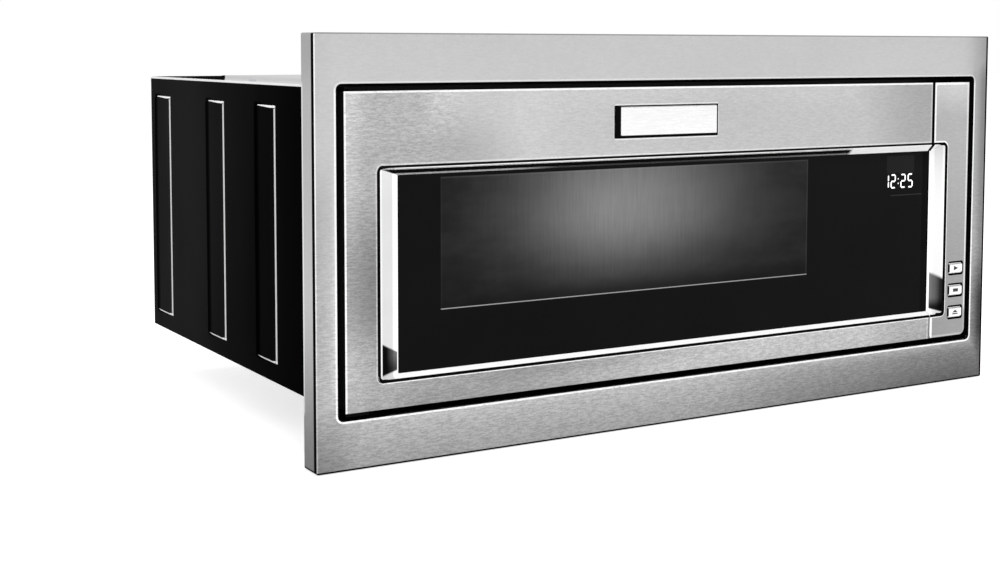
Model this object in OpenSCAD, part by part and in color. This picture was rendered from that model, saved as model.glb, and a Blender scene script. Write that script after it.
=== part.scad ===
// Built-in low-profile microwave with a stainless trim frame.
// Origin: centre of the four cabinet screws, on the cabinet's face. The front looks along -Y.

/* [Trim frame] */
// Width of the trim's face
trim_w = 755.65; // [740:0.05:800]
// Height of the trim's face
trim_h = 355.6; // [345:0.1:400]
// How far the trim stands out from the cabinet
trim_depth = 25; // [24:0.5:30]
// Sheet thickness of the trim
trim_t = 1.5; // [1:0.1:2]
// Width of the trim's face beside its opening
trim_side = 18.825; // [16:0.005:28]
// Width of the trim's face above and below its opening
trim_band = 40.8; // [38:0.1:43]
// Corner radius of the trim's opening
open_r = 5; // [2:1:10]
// Depth of the steel return round the opening
trim_return = 4; // [3:0.5:8]

/* [Mounting frame] */
// Sheet thickness of the black mounting frame
frame_t = 1.5; // [1:0.1:2]
// Depth of the mounting frame's outer return
frame_return = 12; // [8:1:14]
// Gap between the trim's return and the mounting frame
clip_gap = 1.2; // [1:0.1:2]
// Distance of the cabinet screws from the trim's sides
screw_in_x = 77.825; // [60:0.005:120]
// Distance of the cabinet screws from the trim's top and bottom
screw_in_z = 14.8; // [13:0.1:22]
// Diameter of the cabinet screw holes
screw_d = 4.6; // [4:0.1:6]
// Width of one spring clip
clip_w = 20; // [12:1:30]
// Thickness of a spring clip
clip_t = 0.9; // [0.6:0.1:1]
// Distance of the outer clips from the trim's sides
clip_in = 127.825; // [100:0.005:200]

/* [Case] */
// How far the trim reaches past the case, at each side
case_side = 13.325; // [8:0.005:18]
// Distance of the case's top below the top of the trim's opening
case_over = 1.5; // [0.5:0.1:4]
// Distance of the case's bottom above the bottom of the trim's opening
case_under = 11; // [6:0.1:13]
// Distance from the cabinet's face to the back of the case
case_depth = 432.2; // [425:0.1:500]
// Sheet thickness of the case
sheet = 1; // [0.8:0.1:1.2]
// Width of the folded edges of the case panels
hem = 11; // [8:1:12]
// Distance of the first pressed rib from the cabinet's face
rib_front = 112; // [40:1:130]
// Distance from the first pressed rib to the second
rib_pitch = 126; // [60:1:150]
// Distance of the last pressed rib from the back of the case
rib_rear = 39.2; // [30:0.1:100]
// Width of a pressed rib
rib_w = 44; // [30:1:48]
// Distance of the ribs' upper ends below the case's top
rib_above = 19; // [14:0.5:60]
// Distance of the ribs' lower ends above the case's bottom
rib_below = 16.5; // [14:0.5:60]
// How far a rib stands out
rib_h = 3; // [2:0.5:4]
// Height of the raised field in the top cover
top_step = 2.5; // [1:0.5:4]
// Number of vent slots in the rear panel
vent_n = 12; // [6:1:14]
// Width of a vent slot
vent_w = 5; // [3:0.5:6]
// Diameter of the hole through the cord gland
gland_bore = 9; // [7:0.5:10]

/* [Door and control strip] */
// Gap between the door and the trim, at each side
door_gap_x = 7; // [5:0.5:9]
// Gap between the door and the trim, above and below
door_gap_z = 6.2; // [5.5:0.1:7]
// Width of the fixed control strip
strip_w = 50; // [48:0.5:56]
// Gap between the door and the control strip
split_gap = 0.8; // [0.6:0.1:1.5]
// Thickness of the stainless skins
skin_t = 1; // [0.8:0.1:1.2]
// Depth of the door's plastic frame behind the skin
door_frame_d = 20; // [20:0.5:22]
// Wall of the door's plastic frame
door_wall = 2.5; // [2:0.1:3]
// Distance of the hinge pin from the door's left edge
pin_in = 10; // [9.5:0.5:11]
// Distance of the hinge pin behind the door's face
pin_back = 8; // [7.5:0.5:8.5]
// Radius of the hinge pin
pin_r = 3; // [2.5:0.1:3.5]
// Radial clearance of turning shafts
run_fit = 0.05; // [0.03:0.01:0.08]
// Thickness of the door's glass
glass_t = 4; // [3:0.5:4]
// Depth of the glass behind the door's face
glass_in = 6; // [5:0.5:7]
// Left edge of the bezel, from the door's left edge
bezel_left = 29.8; // [27:0.1:35]
// Width of the bezel's slanted sides
bezel_slope_x = 20.5; // [15:0.5:24]
// Height of the bezel's upper slope
bezel_slope_top = 6.9; // [5:0.1:9]
// Height of the bezel's lower slope
bezel_slope_low = 4.8; // [4:0.1:8]
// Distance of the bezel's top below the door's top
bezel_above = 62.5; // [55:0.1:70]
// Distance of the bezel's bottom above the door's bottom
bezel_below = 22.3; // [19:0.1:30]
// Gap between the bezel and the skin round it
bezel_gap = 0.8; // [0.2:0.1:1.2]
// Height of the bezel's rim over the skin
bezel_rim = 0.3; // [0.1:0.1:1]
// Left edge of the window, from the bezel's left edge
window_left = 61.2; // [40:0.1:80]
// Right edge of the window, from the door's right edge
window_right = 160.6; // [150:0.1:220]
// Top of the window below the bezel's top
window_above = 7.3; // [7:0.1:20]
// Bottom of the window above the bezel's bottom
window_below = 54.8; // [20:0.1:70]
// Width of the bare badge plate
badge_w = 114.6; // [80:0.1:130]
// Height of the bare badge plate
badge_h = 29.3; // [20:0.1:32]
// Thickness of the badge plate
badge_t = 4; // [2:0.5:5]
// Centre of the badge, from the door's left edge
badge_x = 319.8; // [280:0.1:360]
// Distance of the badge's centre below the door's top
badge_down = 30.8; // [26:0.1:36]

/* [Buttons] */
// Width of a button
button_w = 20; // [16:0.5:22]
// Height of a button
button_h = 8.6; // [7:0.1:9]
// Gap round a button in the strip
button_gap = 1.1; // [0.8:0.1:1.4]
// Distance of the buttons' centre from the strip's right edge
button_in = 14.1; // [13.5:0.1:15]
// Height of the open button's centre above the strip's bottom
open_button_up = 24.3; // [22:0.1:27]
// Distance between the buttons, up and down
button_pitch = 22.9; // [20:0.1:26]
// Travel of the open button
open_travel = 2.5; // [2:0.1:3]
// How far the buttons stand out from the strip
button_out = 0.6; // [0.2:0.1:1.5]

/* [Oven] */
// Space between the oven and the case's right side, for the power parts
bay_w = 174.5; // [165:0.5:200]
// Space between the oven's ceiling and the case's top
cavity_over = 55.5; // [40:0.5:80]
// Depth of the oven
cavity_d = 370; // [362:1:385]
// Space between the case's left side and the oven
cavity_left = 74.5; // [60:0.5:85]
// Space between the case's bottom and the oven's floor
cavity_under = 34; // [32:0.5:40]
// Sheet thickness of the oven
cavity_t = 1; // [0.8:0.1:1.2]
// Corner radius of the oven
cavity_r = 3; // [2:0.5:8]
// Distance from the cabinet's face to the front plate
front_plate_y = 14; // [13:0.5:16]
// Sheet thickness of the front plate
front_plate_t = 1.2; // [0.8:0.1:1.5]
// Distance of the sunk well from the oven's front and back
well_in = 9; // [6:0.5:30]
// Depth of the sunk well
well_d = 4; // [2:0.5:6]
// Reach of the choke round the oven's mouth
choke_reach = 38; // [30:1:44]

/* [Turntable] */
// Gap between the glass tray and the well's edge
tray_gap = 6; // [3:0.5:20]
// Thickness of the glass tray
tray_t = 5; // [4:0.5:7]
// Height of the tray's rim
tray_rim = 12; // [8:1:16]
// Radius of a roller
roller_r = 9; // [7:0.5:11]
// Width of a roller
roller_w = 7; // [5:0.5:9]
// Radius of the rollers' track
track_r = 105; // [90:1:120]
// Radius of the motor's shaft
shaft_r = 2.5; // [2:0.1:3]
// Number of rollers
roller_n = 3; // [3:1:3]

/* [Power and cooling] */
// Radius of the fan wheel
fan_r = 58; // [45:1:62]
// Number of fan blades
blade_n = 5; // [4:1:7]
// Pitch of the fan blades in degrees
blade_pitch = 32; // [20:1:40]
// Width of the waveguide
guide_w = 36; // [30:1:44]
// Number of cooling fins on the magnetron
fin_n = 7; // [4:1:8]

/* [Hidden] */

eps = 0.01;
arc_n = 4;
loose = 0.3;
$fn = 48;

// Trim and its opening
open_w = trim_w - 2 * trim_side;
open_h = trim_h - 2 * trim_band;
trim_r = 1.5;
frame_r = 3;
sleeve_fit = 0.2;
screw_dx = trim_w - 2 * screw_in_x;
screw_dz = trim_h - 2 * screw_in_z;
clip_hook = 5;
clip_tail = 4;

// Case
case_w = trim_w - 2 * case_side;
case_up = open_h / 2 - case_over;
case_down = open_h / 2 - case_under;
case_h = case_up + case_down;
half_w = case_w / 2;
inner_x = half_w - sheet;
inner_top = case_up - sheet;
inner_low = -case_down + sheet;
rear_in = case_depth - sheet;
rib_y = [rib_front, rib_front + rib_pitch, case_depth - rib_rear];
rib_len = case_h - rib_above - rib_below;
rib_z = (case_up - rib_above - case_down + rib_below) / 2;
rib_r = 6;
field_in = 30;
field_front = 40;
field_rear = 102.2;
field_slope = 8;
field_r = 12;
top_vent_n = 8;
top_vent_pitch = 40;
top_vent_w = 20;
top_vent_len = 50;
top_vent_rear = 32.2;
gland_out = 5;
gland_in = 8;
gland_up = 18;
head_h = 2.2;
head_r = 4;
screw_inset = 60;
screw_edge = 14;
side_screw_front = 15;
side_screw_rear = 132.2;

// Front faces and the split between door and strip
face_y = -trim_depth;
front_w = open_w - 2 * door_gap_x;
front_h = open_h - 2 * door_gap_z;
front_x0 = -front_w / 2;
front_x1 = front_w / 2;
strip_x0 = front_x1 - strip_w + split_gap / 2;
door_x1 = front_x1 - strip_w - split_gap / 2;
skin_back = face_y + skin_t;
frame_back = skin_back + door_frame_d;
frame_inset = 0.7;
skin_fold = 2;
skin_edge = skin_back + skin_fold;
skin_fit = 0.2;
frame_x0 = front_x0 + skin_t + skin_fit;
frame_hz = front_h / 2 - skin_t - skin_fit;

// Bezel and glass
bezel_x0 = front_x0 + bezel_left;
bezel_x1 = -bezel_x0;
bezel_up = front_h / 2 - bezel_above;
bezel_down = front_h / 2 - bezel_below;
bezel_r = 4;
bezel_lip = 1;
glass_y = face_y + glass_in;
glass_back = glass_y + glass_t;
bezel_edge = 0.5;
glass_lap = 6;
glass_lap_z = 3;
glass_x0 = bezel_x0 + bezel_slope_x - glass_lap;
glass_z0 = -bezel_down + bezel_slope_low - glass_lap_z;
glass_z1 = bezel_up - bezel_slope_top + glass_lap_z;
seat_w = 3;
seat_d = 2.5;
seat_lap = 5;

// Window
window_x0 = bezel_x0 + window_left;
window_x1 = door_x1 - window_right;
window_up = bezel_up - window_above;
window_down = bezel_down - window_below;
touch_x0 = window_x1 + 14;
touch_y = glass_back + 2.4;
touch_pads = [8, 60];
pad_w = 10;
display_x = door_x1 - 37.4;
display_z = bezel_up - 34.3;
display_half = [22, 18];

// Badge
badge_z = front_h / 2 - badge_down;
badge_edge = 1;
badge_slope_x = 4;
badge_slope_z = 1.8;

// Door back: pan, screen, choke
pan_t = 1;
pan_y = frame_back;
pan_edge = 6;
pan_inset = 2;
screen_t = 0.6;
screen_lap = 5;
film_t = 1.5;
film_lap = 8;
choke_wall = 1;
choke_gap = 2;
choke_y = front_plate_y - choke_gap;
choke_cover_t = 2;
cover_lap = 0.8;
cover_skirt = 0.7;

// Oven
fp_back = front_plate_y + front_plate_t;
cavity_w = case_w - cavity_left - bay_w;
cavity_h = case_h - cavity_under - cavity_over;
cav_x0 = -half_w + cavity_left;
cav_x1 = cav_x0 + cavity_w;
cav_z0 = -case_down + cavity_under;
cav_z1 = cav_z0 + cavity_h;
cav_y1 = fp_back + cavity_d;
cav_cx = (cav_x0 + cav_x1) / 2;
cav_cy = fp_back + cavity_d / 2;
cav_flange = 12;
choke_edge = 12;
choke_x0 = cav_x0 - choke_reach;
choke_x1 = cav_x1 + choke_reach;
choke_z0 = max(cav_z0 - choke_reach, -front_h / 2 + choke_edge);
choke_z1 = min(cav_z1 + choke_reach, front_h / 2 - choke_edge);
choke_in = 12;
lamp_hole_r = 1.8;
lamp_hole_pitch = 6;
steam_hole_r = 2;
steam_hole_pitch = 8;
steam_hole_down = 40;

// Hinge
pin_x = front_x0 + pin_in;
pin_y = face_y + pin_back;
pin_deep = 12;
hinge_t = 2;
hinge_space = 1.5;
hinge_w = 21;
hinge_leg = 32;
hinge_rivets = [6, 14];
rivet_r = 2.2;
hinge_x0 = pin_x - hinge_w / 2 + 2;
hinge_x1 = hinge_x0 + hinge_w;
lip_gap = 1;
boss_r = 6.3;

// Buttons
button_x = front_x1 - button_in;
open_button_z = -front_h / 2 + open_button_up;
start_z = open_button_z + 2 * button_pitch;
cancel_z = open_button_z + button_pitch;
button_face = face_y - button_out;
button_edge = 0.5;
button_crown = 0.6;
lip_w = 1.3;
lip_t = 1.5;
lip_fit = 0.3;
lip_y = skin_back + open_travel + 0.5;
stem_r = 1.5;
stem_hole_r = 4;
board_y = -8;
board_t = 1.6;
tact_w = 6;
tact_h = 2;
short_travel = 1;

// Control housing
housing_x0 = strip_x0 + 1;
housing_x1 = front_x1 - 2;
housing_h = case_down - sheet - 1;
housing_wall = 2;
housing_seat = 3;
board_in = 6;

// Latch
hook_w = 8;
hook_x = door_x1 - 14;
hook_z0 = open_button_z + 18.5;
hook_rise = 8;
hook_apart = 144;
hook_reach = 23;
barb_d = 3;
key_lift = 2.7;
key_w = 11;
key_y0 = frame_back - 6;
key_y1 = frame_back - 1;
rail_t = 2;
rail_at = key_w / 2 + 1.3;
key_z0 = hook_z0 - 9;
key_z1 = hook_z0 + hook_apart + 14;
spring_z1 = key_z1 + 18;
spring_r = 2.4;
spring_stop = 3;
spring_wire = 0.6;
pad_z = hook_z0 - loose;
lever_r = 2.5;
lever_y = fp_back + 8.8;
lever_z = open_button_z + 13;
lever_arm = 13;
lever_x0 = hook_x - 7;
lever_x1 = button_x + 7;
bracket_t = 2.5;
web_x = hook_x + 8;
bracket_z0 = lever_z - 18;
bracket_z1 = key_z1 - 2;
switch_y = fp_back + hook_reach + 1.1;
switch_l = 17;
bracket_y1 = switch_y + switch_l + 2;
switch_w = 6;
switch_h = 11;

// Turntable
well_r = cavity_d / 2 - well_in;
tray_r = well_r - tray_gap;
well_z = cav_z0 - well_d;
well_under = well_z - cavity_t;
roller_z = well_z + loose + roller_r;
tray_z = roller_z + roller_r + loose;
ring_in = track_r - 24;
ring_out = track_r - 15;
ring_h = 7;
axle_r = 1.8;
axle_cap = 2;
motor_r = 24;
motor_h = 13;
motor_ear = 11;
hub_r = 9;
lobe_r = 5;
lobe_at = 12;
lug_r = 3.5;
lug_h = 5;
coupler_z0 = well_z + 0.8;

// Component bay
bay_x0 = cav_x1 + cavity_t;
bay_cx = (bay_x0 + inner_x) / 2;
ring_gap = 3.5;
ring_wall = 2;
ring_len = 18;
duct_t = 1.5;
duct_half = fan_r + ring_gap + ring_wall + 6.5;
duct_len = 40.2;
shroud_y = rear_in - 28;
shroud_t = 2;
shroud_half = duct_half + 5;
shroud_foot = 14;
fan_z = 10;
fan_motor_l = 18;
fan_shaft_r = 2;
fan_slot_pitch = 10;
air_slot_pitch = 14;
air_slot_len = 50;
steam_in = 123;
blade_t = 1.6;
blade_w = 40;
fan_hub_r = 15;

// Magnetron and waveguide
mag_flange = 1.5;
mag_plate = 76;
yoke_l = 62;
yoke_d = 80;
yoke_h = 82;
yoke_t = 1.5;
pole_h = 10;
pole_r = 27;
anode_r = 19;
fin_t = 0.8;
fin_in = 4;
antenna_r = 7.5;
antenna_l = 24;
gasket_r = 14;
filter_can = [30, 54, 60];
guide_len = 135;
guide_h = 80;
guide_down = 50;
guide_lap = 8;
guide_lap_z = 6;
mag_x0 = bay_x0 + guide_w;
mag_y = shroud_y - ring_len - duct_len - yoke_d / 2;
mag_z = cav_z1 - guide_down;
guide_y0 = mag_y - 95;
guide_z0 = mag_z - guide_h / 2;
port_in = 8;
port_in_z = 14;
port_len = 60;
mica_lap = 6;
mica_t = 0.8;
mica_notch_r = 4;

// Capacitor, transformer and base vents, from front to back
cap_r = 16;
cap_h = 52;
cap_l = 92;
cap_tab = 9;
tab_w = 6;
tab_z = [15, 35];
cap_x = half_w - hem - cap_r - 3;
cap_y0 = bracket_y1 + cap_tab + 5;
strap_t = 1;
strap_w = 16;
strap_foot = 8;
lam_w = 96;
lam_h = 76;
lam_d = 60;
lam_leg = 16;
lam_x = bay_x0 + 13 + lam_w / 2;
lam_y = cap_y0 + cap_l + 6 + lam_d / 2;
foot_t = 3;
foot_out = 8;
foot_hole_r = 2.2;
core_z0 = inner_low + foot_t;
core_z1 = core_z0 + lam_h;
shunt_h = 6;
coil_gap = 0.3;
base_vent_len = 60;
side_vent_len = 100;

// Lamp, cut-out and filter board
lamp_out = 30;
lamp_r = 9;
lamp_y = guide_y0 - 45;
lamp_z = cav_z1 - 22;
lamp_box = [34, 30];
lamp_ear = [50, 20];
lamp_neck_r = 6.9;
cutout_in = 60;
cutout_r = 8;
board_gap = 9;
board_x = bay_x0 + board_gap;
filter_y0 = fp_back + 20;
filter_z0 = cav_z0 + 50;
filter_w = 100;
filter_h = 80;
filter_in = 6;
gland_x = cav_x1 - 60;
gland_z = -case_down + gland_up;
gland_neck_r = gland_bore / 2 + 3;

// A box between two opposite corners.
module block(lo, hi) {
    translate(lo) cube(hi - lo);
}

// An outline in X and Z, carried along Y.
module along_y(y0, y1) {
    translate([0, y1, 0]) rotate([90, 0, 0]) linear_extrude(y1 - y0) children();
}

// An outline in Y and Z, carried along X.
module along_x(x0, x1) {
    translate([x0, 0, 0]) rotate([90, 0, 90]) linear_extrude(x1 - x0) children();
}

// An outline in X and Y, carried along Z.
module along_z(z0, z1) {
    translate([0, 0, z0]) linear_extrude(z1 - z0) children();
}

// A round bar along X, Y or Z from one end to the other.
module bar_x(x0, x1, y, z, r) {
    translate([x0, y, z]) rotate([0, 90, 0]) cylinder(h = x1 - x0, r = r);
}

module bar_y(y0, y1, x, z, r) {
    translate([x, y0, z]) rotate([-90, 0, 0]) cylinder(h = y1 - y0, r = r);
}

module bar_z(z0, z1, x, y, r) {
    translate([x, y, z0]) cylinder(h = z1 - z0, r = r);
}

// Points of one rounded corner, from angle a on.
function corner(cx, cy, r, a) = [
    for (i = [0:arc_n]) [cx + r * cos(a + 90 * i / arc_n), cy + r * sin(a + 90 * i / arc_n)]
];

// Points of a rectangle with round corners.
function round_rect(x0, x1, y0, y1, r) = concat(
    corner(x1 - r, y1 - r, r, 0), corner(x0 + r, y1 - r, r, 90),
    corner(x0 + r, y0 + r, r, 180), corner(x1 - r, y0 + r, r, 270)
);

module rounded(x0, x1, y0, y1, r) {
    polygon(round_rect(x0, x1, y0, y1, r));
}

// A rectangular outline with a rectangular hole, both centred, as a wall of thickness t.
module tube_outline(w, h, r, t) {
    difference() {
        rounded(-w / 2, w / 2, -h / 2, h / 2, r);
        rounded(t - w / 2, w / 2 - t, t - h / 2, h / 2 - t, max(r - t, 0.3));
    }
}

// A raised field with slanted sides, standing on z = 0.
module pressed_field(x0, x1, y0, y1, h, slope, r) {
    intersection() {
        along_y(y0, y1) polygon([[x0, 0], [x0 + slope, h], [x1 - slope, h], [x1, 0]]);
        along_x(x0, x1) polygon([[y0, 0], [y0 + slope, h], [y1 - slope, h], [y1, 0]]);
        along_z(0, h) rounded(x0, x1, y0, y1, r);
    }
}

// The hollow under a raised field, which keeps the sheet's thickness.
module pressed_hollow(x0, x1, y0, y1, h, slope, r) {
    translate([0, 0, -sheet])
        pressed_field(x0 + sheet, x1 - sheet, y0 + sheet, y1 - sheet, h, slope, r - sheet);
}

// Trim

module trim_frame() {
    color("silver") {
        along_y(face_y, face_y + trim_t) difference() {
            rounded(-trim_w / 2, trim_w / 2, -trim_h / 2, trim_h / 2, trim_r);
            rounded(-open_w / 2, open_w / 2, -open_h / 2, open_h / 2, open_r);
        }
        along_y(face_y, 0) tube_outline(trim_w, trim_h, trim_r, trim_t);
        along_y(face_y, face_y + trim_return)
            tube_outline(open_w + 2 * trim_t, open_h + 2 * trim_t, open_r + trim_t, trim_t);
    }
}

module screw_holes() {
    for (x = [-screw_dx / 2, screw_dx / 2], z = [-screw_dz / 2, screw_dz / 2])
        bar_y(-frame_t - 1, 1, x, z, screw_d / 2);
}

module mounting_frame() {
    outer_w = trim_w - 2 * (trim_t + clip_gap);
    outer_h = trim_h - 2 * (trim_t + clip_gap);
    sleeve_w = open_w + 2 * (frame_t + sleeve_fit);
    sleeve_h = open_h + 2 * (frame_t + sleeve_fit);
    color("#1c1c1d") {
        difference() {
            along_y(-frame_t, 0)
                tube_flange(outer_w, outer_h, sleeve_w - 2 * frame_t, sleeve_h - 2 * frame_t);
            screw_holes();
        }
        along_y(-frame_return, 0) tube_outline(outer_w, outer_h, frame_r, frame_t);
        along_y(face_y + trim_return, 0) tube_outline(sleeve_w, sleeve_h, open_r, frame_t);
        block([hinge_x1 + lip_gap, -frame_t, -sleeve_h / 2], [sleeve_w / 2, 0, -case_down]);
        block([-sleeve_w / 2, -frame_t, -sleeve_h / 2], [hinge_x0 - lip_gap, 0, -case_down]);
    }
}

// The flat of the mounting frame, between its outer edge and its opening.
module tube_flange(w, h, hole_w, hole_h) {
    difference() {
        rounded(-w / 2, w / 2, -h / 2, h / 2, frame_r);
        square([hole_w, hole_h], center = true);
    }
}

// One spring clip that grips the mounting frame's outer return and bears on the trim, at the top edge.
module spring_clip() {
    edge = trim_h / 2 - trim_t - clip_gap;
    top = edge + clip_t;
    low = edge - frame_t - clip_t;
    front = -frame_return - clip_t;
    along_x(-clip_w / 2, clip_w / 2) difference() {
        polygon([
            [front, low], [-clip_hook, low], [-clip_hook, edge],
            [-clip_tail, edge], [-clip_tail, top], [front, top]
        ]);
        polygon([[-frame_return, edge - frame_t], [0, edge - frame_t], [0, edge], [-frame_return, edge]]);
    }
}

module trim_clips() {
    color("darkgray") for (i = [-1:1], s = [0, 1])
        mirror([0, 0, s]) translate([i * (trim_w / 2 - clip_in), 0, 0]) spring_clip();
}

// Case

// The left side panel; the right one is its mirror image.
module side_panel() {
    difference() {
        union() {
            block([-half_w, 0, -case_down], [-inner_x, case_depth, case_up]);
            block([-half_w, 0, inner_top - sheet], [-half_w + hem, rear_in, inner_top]);
            block([-half_w, 0, inner_low], [-half_w + hem, rear_in, inner_low + sheet]);
            for (y = rib_y) translate([-half_w, y, rib_z]) rotate([0, -90, 0])
                pressed_field(-rib_len / 2, rib_len / 2, -rib_w / 2, rib_w / 2, rib_h, rib_h, rib_r);
        }
        for (y = rib_y) translate([-half_w, y, rib_z]) rotate([0, -90, 0])
            pressed_hollow(-rib_len / 2, rib_len / 2, -rib_w / 2, rib_w / 2, rib_h, rib_h, rib_r);
    }
}

module left_side_panel() {
    color("#151516") side_panel();
}

module right_side_panel() {
    color("#151516") mirror([1, 0, 0]) side_panel();
}

module top_cover() {
    x0 = -inner_x + field_in;
    x1 = inner_x - field_in;
    y1 = case_depth - field_rear;
    vent_y1 = case_depth - top_vent_rear;
    color("lightgray") translate([0, 0, case_up]) difference() {
        union() {
            block([-inner_x, 0, -sheet], [inner_x, rear_in, 0]);
            pressed_field(x0, x1, field_front, y1, top_step, field_slope, field_r);
        }
        pressed_hollow(x0, x1, field_front, y1, top_step, field_slope, field_r);
        slot_row(top_vent_n, top_vent_pitch) along_z(-sheet - 1, 1)
            rounded(-top_vent_w / 2, top_vent_w / 2, vent_y1 - top_vent_len, vent_y1, 4);
    }
}

// Copies in a row along X, centred.
module slot_row(n, pitch) {
    for (i = [0:n - 1]) translate([(i - (n - 1) / 2) * pitch, 0, 0]) children();
}

// A vertical slot through a panel that stands square to Y.
module upright_slot(y0, y1, w, len) {
    along_y(y0, y1) rounded(-w / 2, w / 2, -len / 2, len / 2, w / 2 - 0.1);
}

module base_plate() {
    z0 = -case_down - 1;
    z1 = inner_low + 1;
    w = vent_w;
    color("darkgray") difference() {
        block([-inner_x, 0, -case_down], [inner_x, rear_in, inner_low]);
        block([hinge_x0 - lip_gap, -1, z0], [hinge_x1 + lip_gap, front_plate_y + loose, z1]);
        translate([bay_cx, mag_y, 0]) slot_row(10, 13) along_z(z0, z1)
            rounded(-w / 2, w / 2, -base_vent_len / 2, base_vent_len / 2, w / 2 - 0.1);
        translate([(cav_x0 - inner_x) / 2, cav_cy, 0]) slot_row(5, 9) along_z(z0, z1)
            rounded(-w / 2, w / 2, -side_vent_len / 2, side_vent_len / 2, w / 2 - 0.1);
    }
}

module rear_panel() {
    color("#19191a") difference() {
        union() {
            block([-inner_x, rear_in, inner_low], [inner_x, case_depth, inner_top]);
            for (s = [0, 1]) mirror([s, 0, 0])
                block([-inner_x, rear_in - hem, inner_low + sheet],
                    [-inner_x + sheet, rear_in, inner_top - sheet]);
        }
        translate([bay_cx, 0, fan_z]) slot_row(vent_n, fan_slot_pitch)
            upright_slot(rear_in - 1, case_depth + 1, vent_w, 2 * fan_r - 6);
        translate([cav_cx - steam_in, 0, cav_z1 - 20]) slot_row(vent_n, air_slot_pitch)
            upright_slot(rear_in - 1, case_depth + 1, vent_w, air_slot_len);
        bar_y(rear_in - 1, case_depth + 1, gland_x, gland_z, gland_neck_r);
    }
}

module cord_gland() {
    color("#222223") translate([gland_x, 0, gland_z]) difference() {
        union() {
            bar_y(rear_in - gland_in, case_depth, 0, 0, gland_neck_r - run_fit);
            bar_y(case_depth, case_depth + gland_out, 0, 0, gland_neck_r + 3);
            bar_y(rear_in - gland_in, rear_in, 0, 0, gland_neck_r + 2);
        }
        bar_y(rear_in - gland_in - 1, case_depth + gland_out + 1, 0, 0, gland_bore / 2);
    }
}

module front_plate() {
    y0 = front_plate_y - 1;
    y1 = fp_back + 1;
    color("lightgray") difference() {
        union() {
            block([-inner_x, front_plate_y, inner_low + sheet], [inner_x, fp_back, inner_top - sheet]);
            block([-inner_x, fp_back, inner_top - 2 * sheet], [inner_x, fp_back + hem, inner_top - sheet]);
            block([-inner_x, fp_back, inner_low + sheet], [inner_x, fp_back + hem, inner_low + 2 * sheet]);
        }
        along_y(y0, y1) rounded(cav_x0, cav_x1, cav_z0, cav_z1, cavity_r);
        hook_slots(y0, y1);
        bar_y(y0, y1, button_x, open_button_z, stem_hole_r);
        translate([bay_x0 + 27.5, 0, cav_z1 + 18]) slot_row(6, 7) upright_slot(y0, y1, 4, 25);
    }
}

// Slots that the door's hooks pass through, with room for the hooks' lift and the door's swing.
module hook_slots(y0, y1) {
    side = hook_w / 2 + 2;
    swing = hook_w / 2 + 4;
    for (z = [hook_z0, hook_z0 + hook_apart]) along_y(y0, y1)
        rounded(hook_x - side, hook_x + swing, z - 0.5, z + hook_rise + key_lift + 3, 1);
}

module screw_head() {
    cylinder(h = head_h, r1 = head_r, r2 = head_r - 1);
}

module case_screws() {
    side_pitch = (case_depth - side_screw_rear - side_screw_front) / 2;
    hem_x = half_w - (hem + sheet) / 2;
    color("silver") {
        for (i = [-1:1], z = [inner_low + screw_edge, inner_top - screw_edge])
            translate([i * (inner_x - screw_inset), case_depth, z]) rotate([-90, 0, 0]) screw_head();
        for (i = [0:2], s = [-1, 1])
            translate([s * hem_x, side_screw_front + i * side_pitch, case_up]) screw_head();
    }
}

// Oven

module oven_cavity() {
    color("#c9cac6") difference() {
        union() {
            along_y(fp_back, cav_y1 + cavity_t)
                rounded(cav_x0 - cavity_t, cav_x1 + cavity_t, cav_z0 - cavity_t, cav_z1 + cavity_t,
                    cavity_r + cavity_t);
            along_y(fp_back, fp_back + cavity_t)
                rounded(cav_x0 - cav_flange, cav_x1 + cav_flange,
                    cav_z0 - cav_flange, cav_z1 + cav_flange, 3);
            bar_z(well_under, cav_z0, cav_cx, cav_cy, well_r + cavity_t);
        }
        along_y(fp_back - 1, cav_y1) rounded(cav_x0, cav_x1, cav_z0, cav_z1, cavity_r);
        bar_z(well_z, cav_z0 + 1, cav_cx, cav_cy, well_r);
        bar_z(well_under - 1, well_z + 1, cav_cx, cav_cy, shaft_r + 2);
        port(cav_x1 - 1, bay_x0 + 1);
        for (i = [-1.5:1.5], j = [-1:1])
            bar_x(cav_x1 - 1, bay_x0 + 1, lamp_y + lamp_hole_pitch * i,
                lamp_z + lamp_hole_pitch * j, lamp_hole_r);
        for (i = [-3:3], j = [0:2])
            bar_x(cav_x0 - cavity_t - 1, cav_x0 + 1, cav_cy + steam_hole_pitch * i,
                cav_z1 - steam_hole_down + steam_hole_pitch * j, steam_hole_r);
    }
}

// The port through which the microwaves enter the oven.
module port(x0, x1) {
    block([x0, guide_y0 + port_in, guide_z0 + port_in_z],
        [x1, guide_y0 + port_in + port_len, guide_z0 + guide_h - port_in_z]);
}

module waveguide_cover() {
    y0 = guide_y0 + port_in - mica_lap;
    y1 = y0 + port_len + 2 * mica_lap;
    z0 = guide_z0 + port_in_z - guide_lap;
    z1 = guide_z0 + guide_h - port_in_z + guide_lap;
    color("#b9a98a") along_x(cav_x1 - mica_t, cav_x1) difference() {
        rounded(y0, y1, z0, z1, 3);
        for (z = [z0, z1]) translate([(y0 + y1) / 2, z]) circle(r = mica_notch_r);
    }
}

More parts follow.
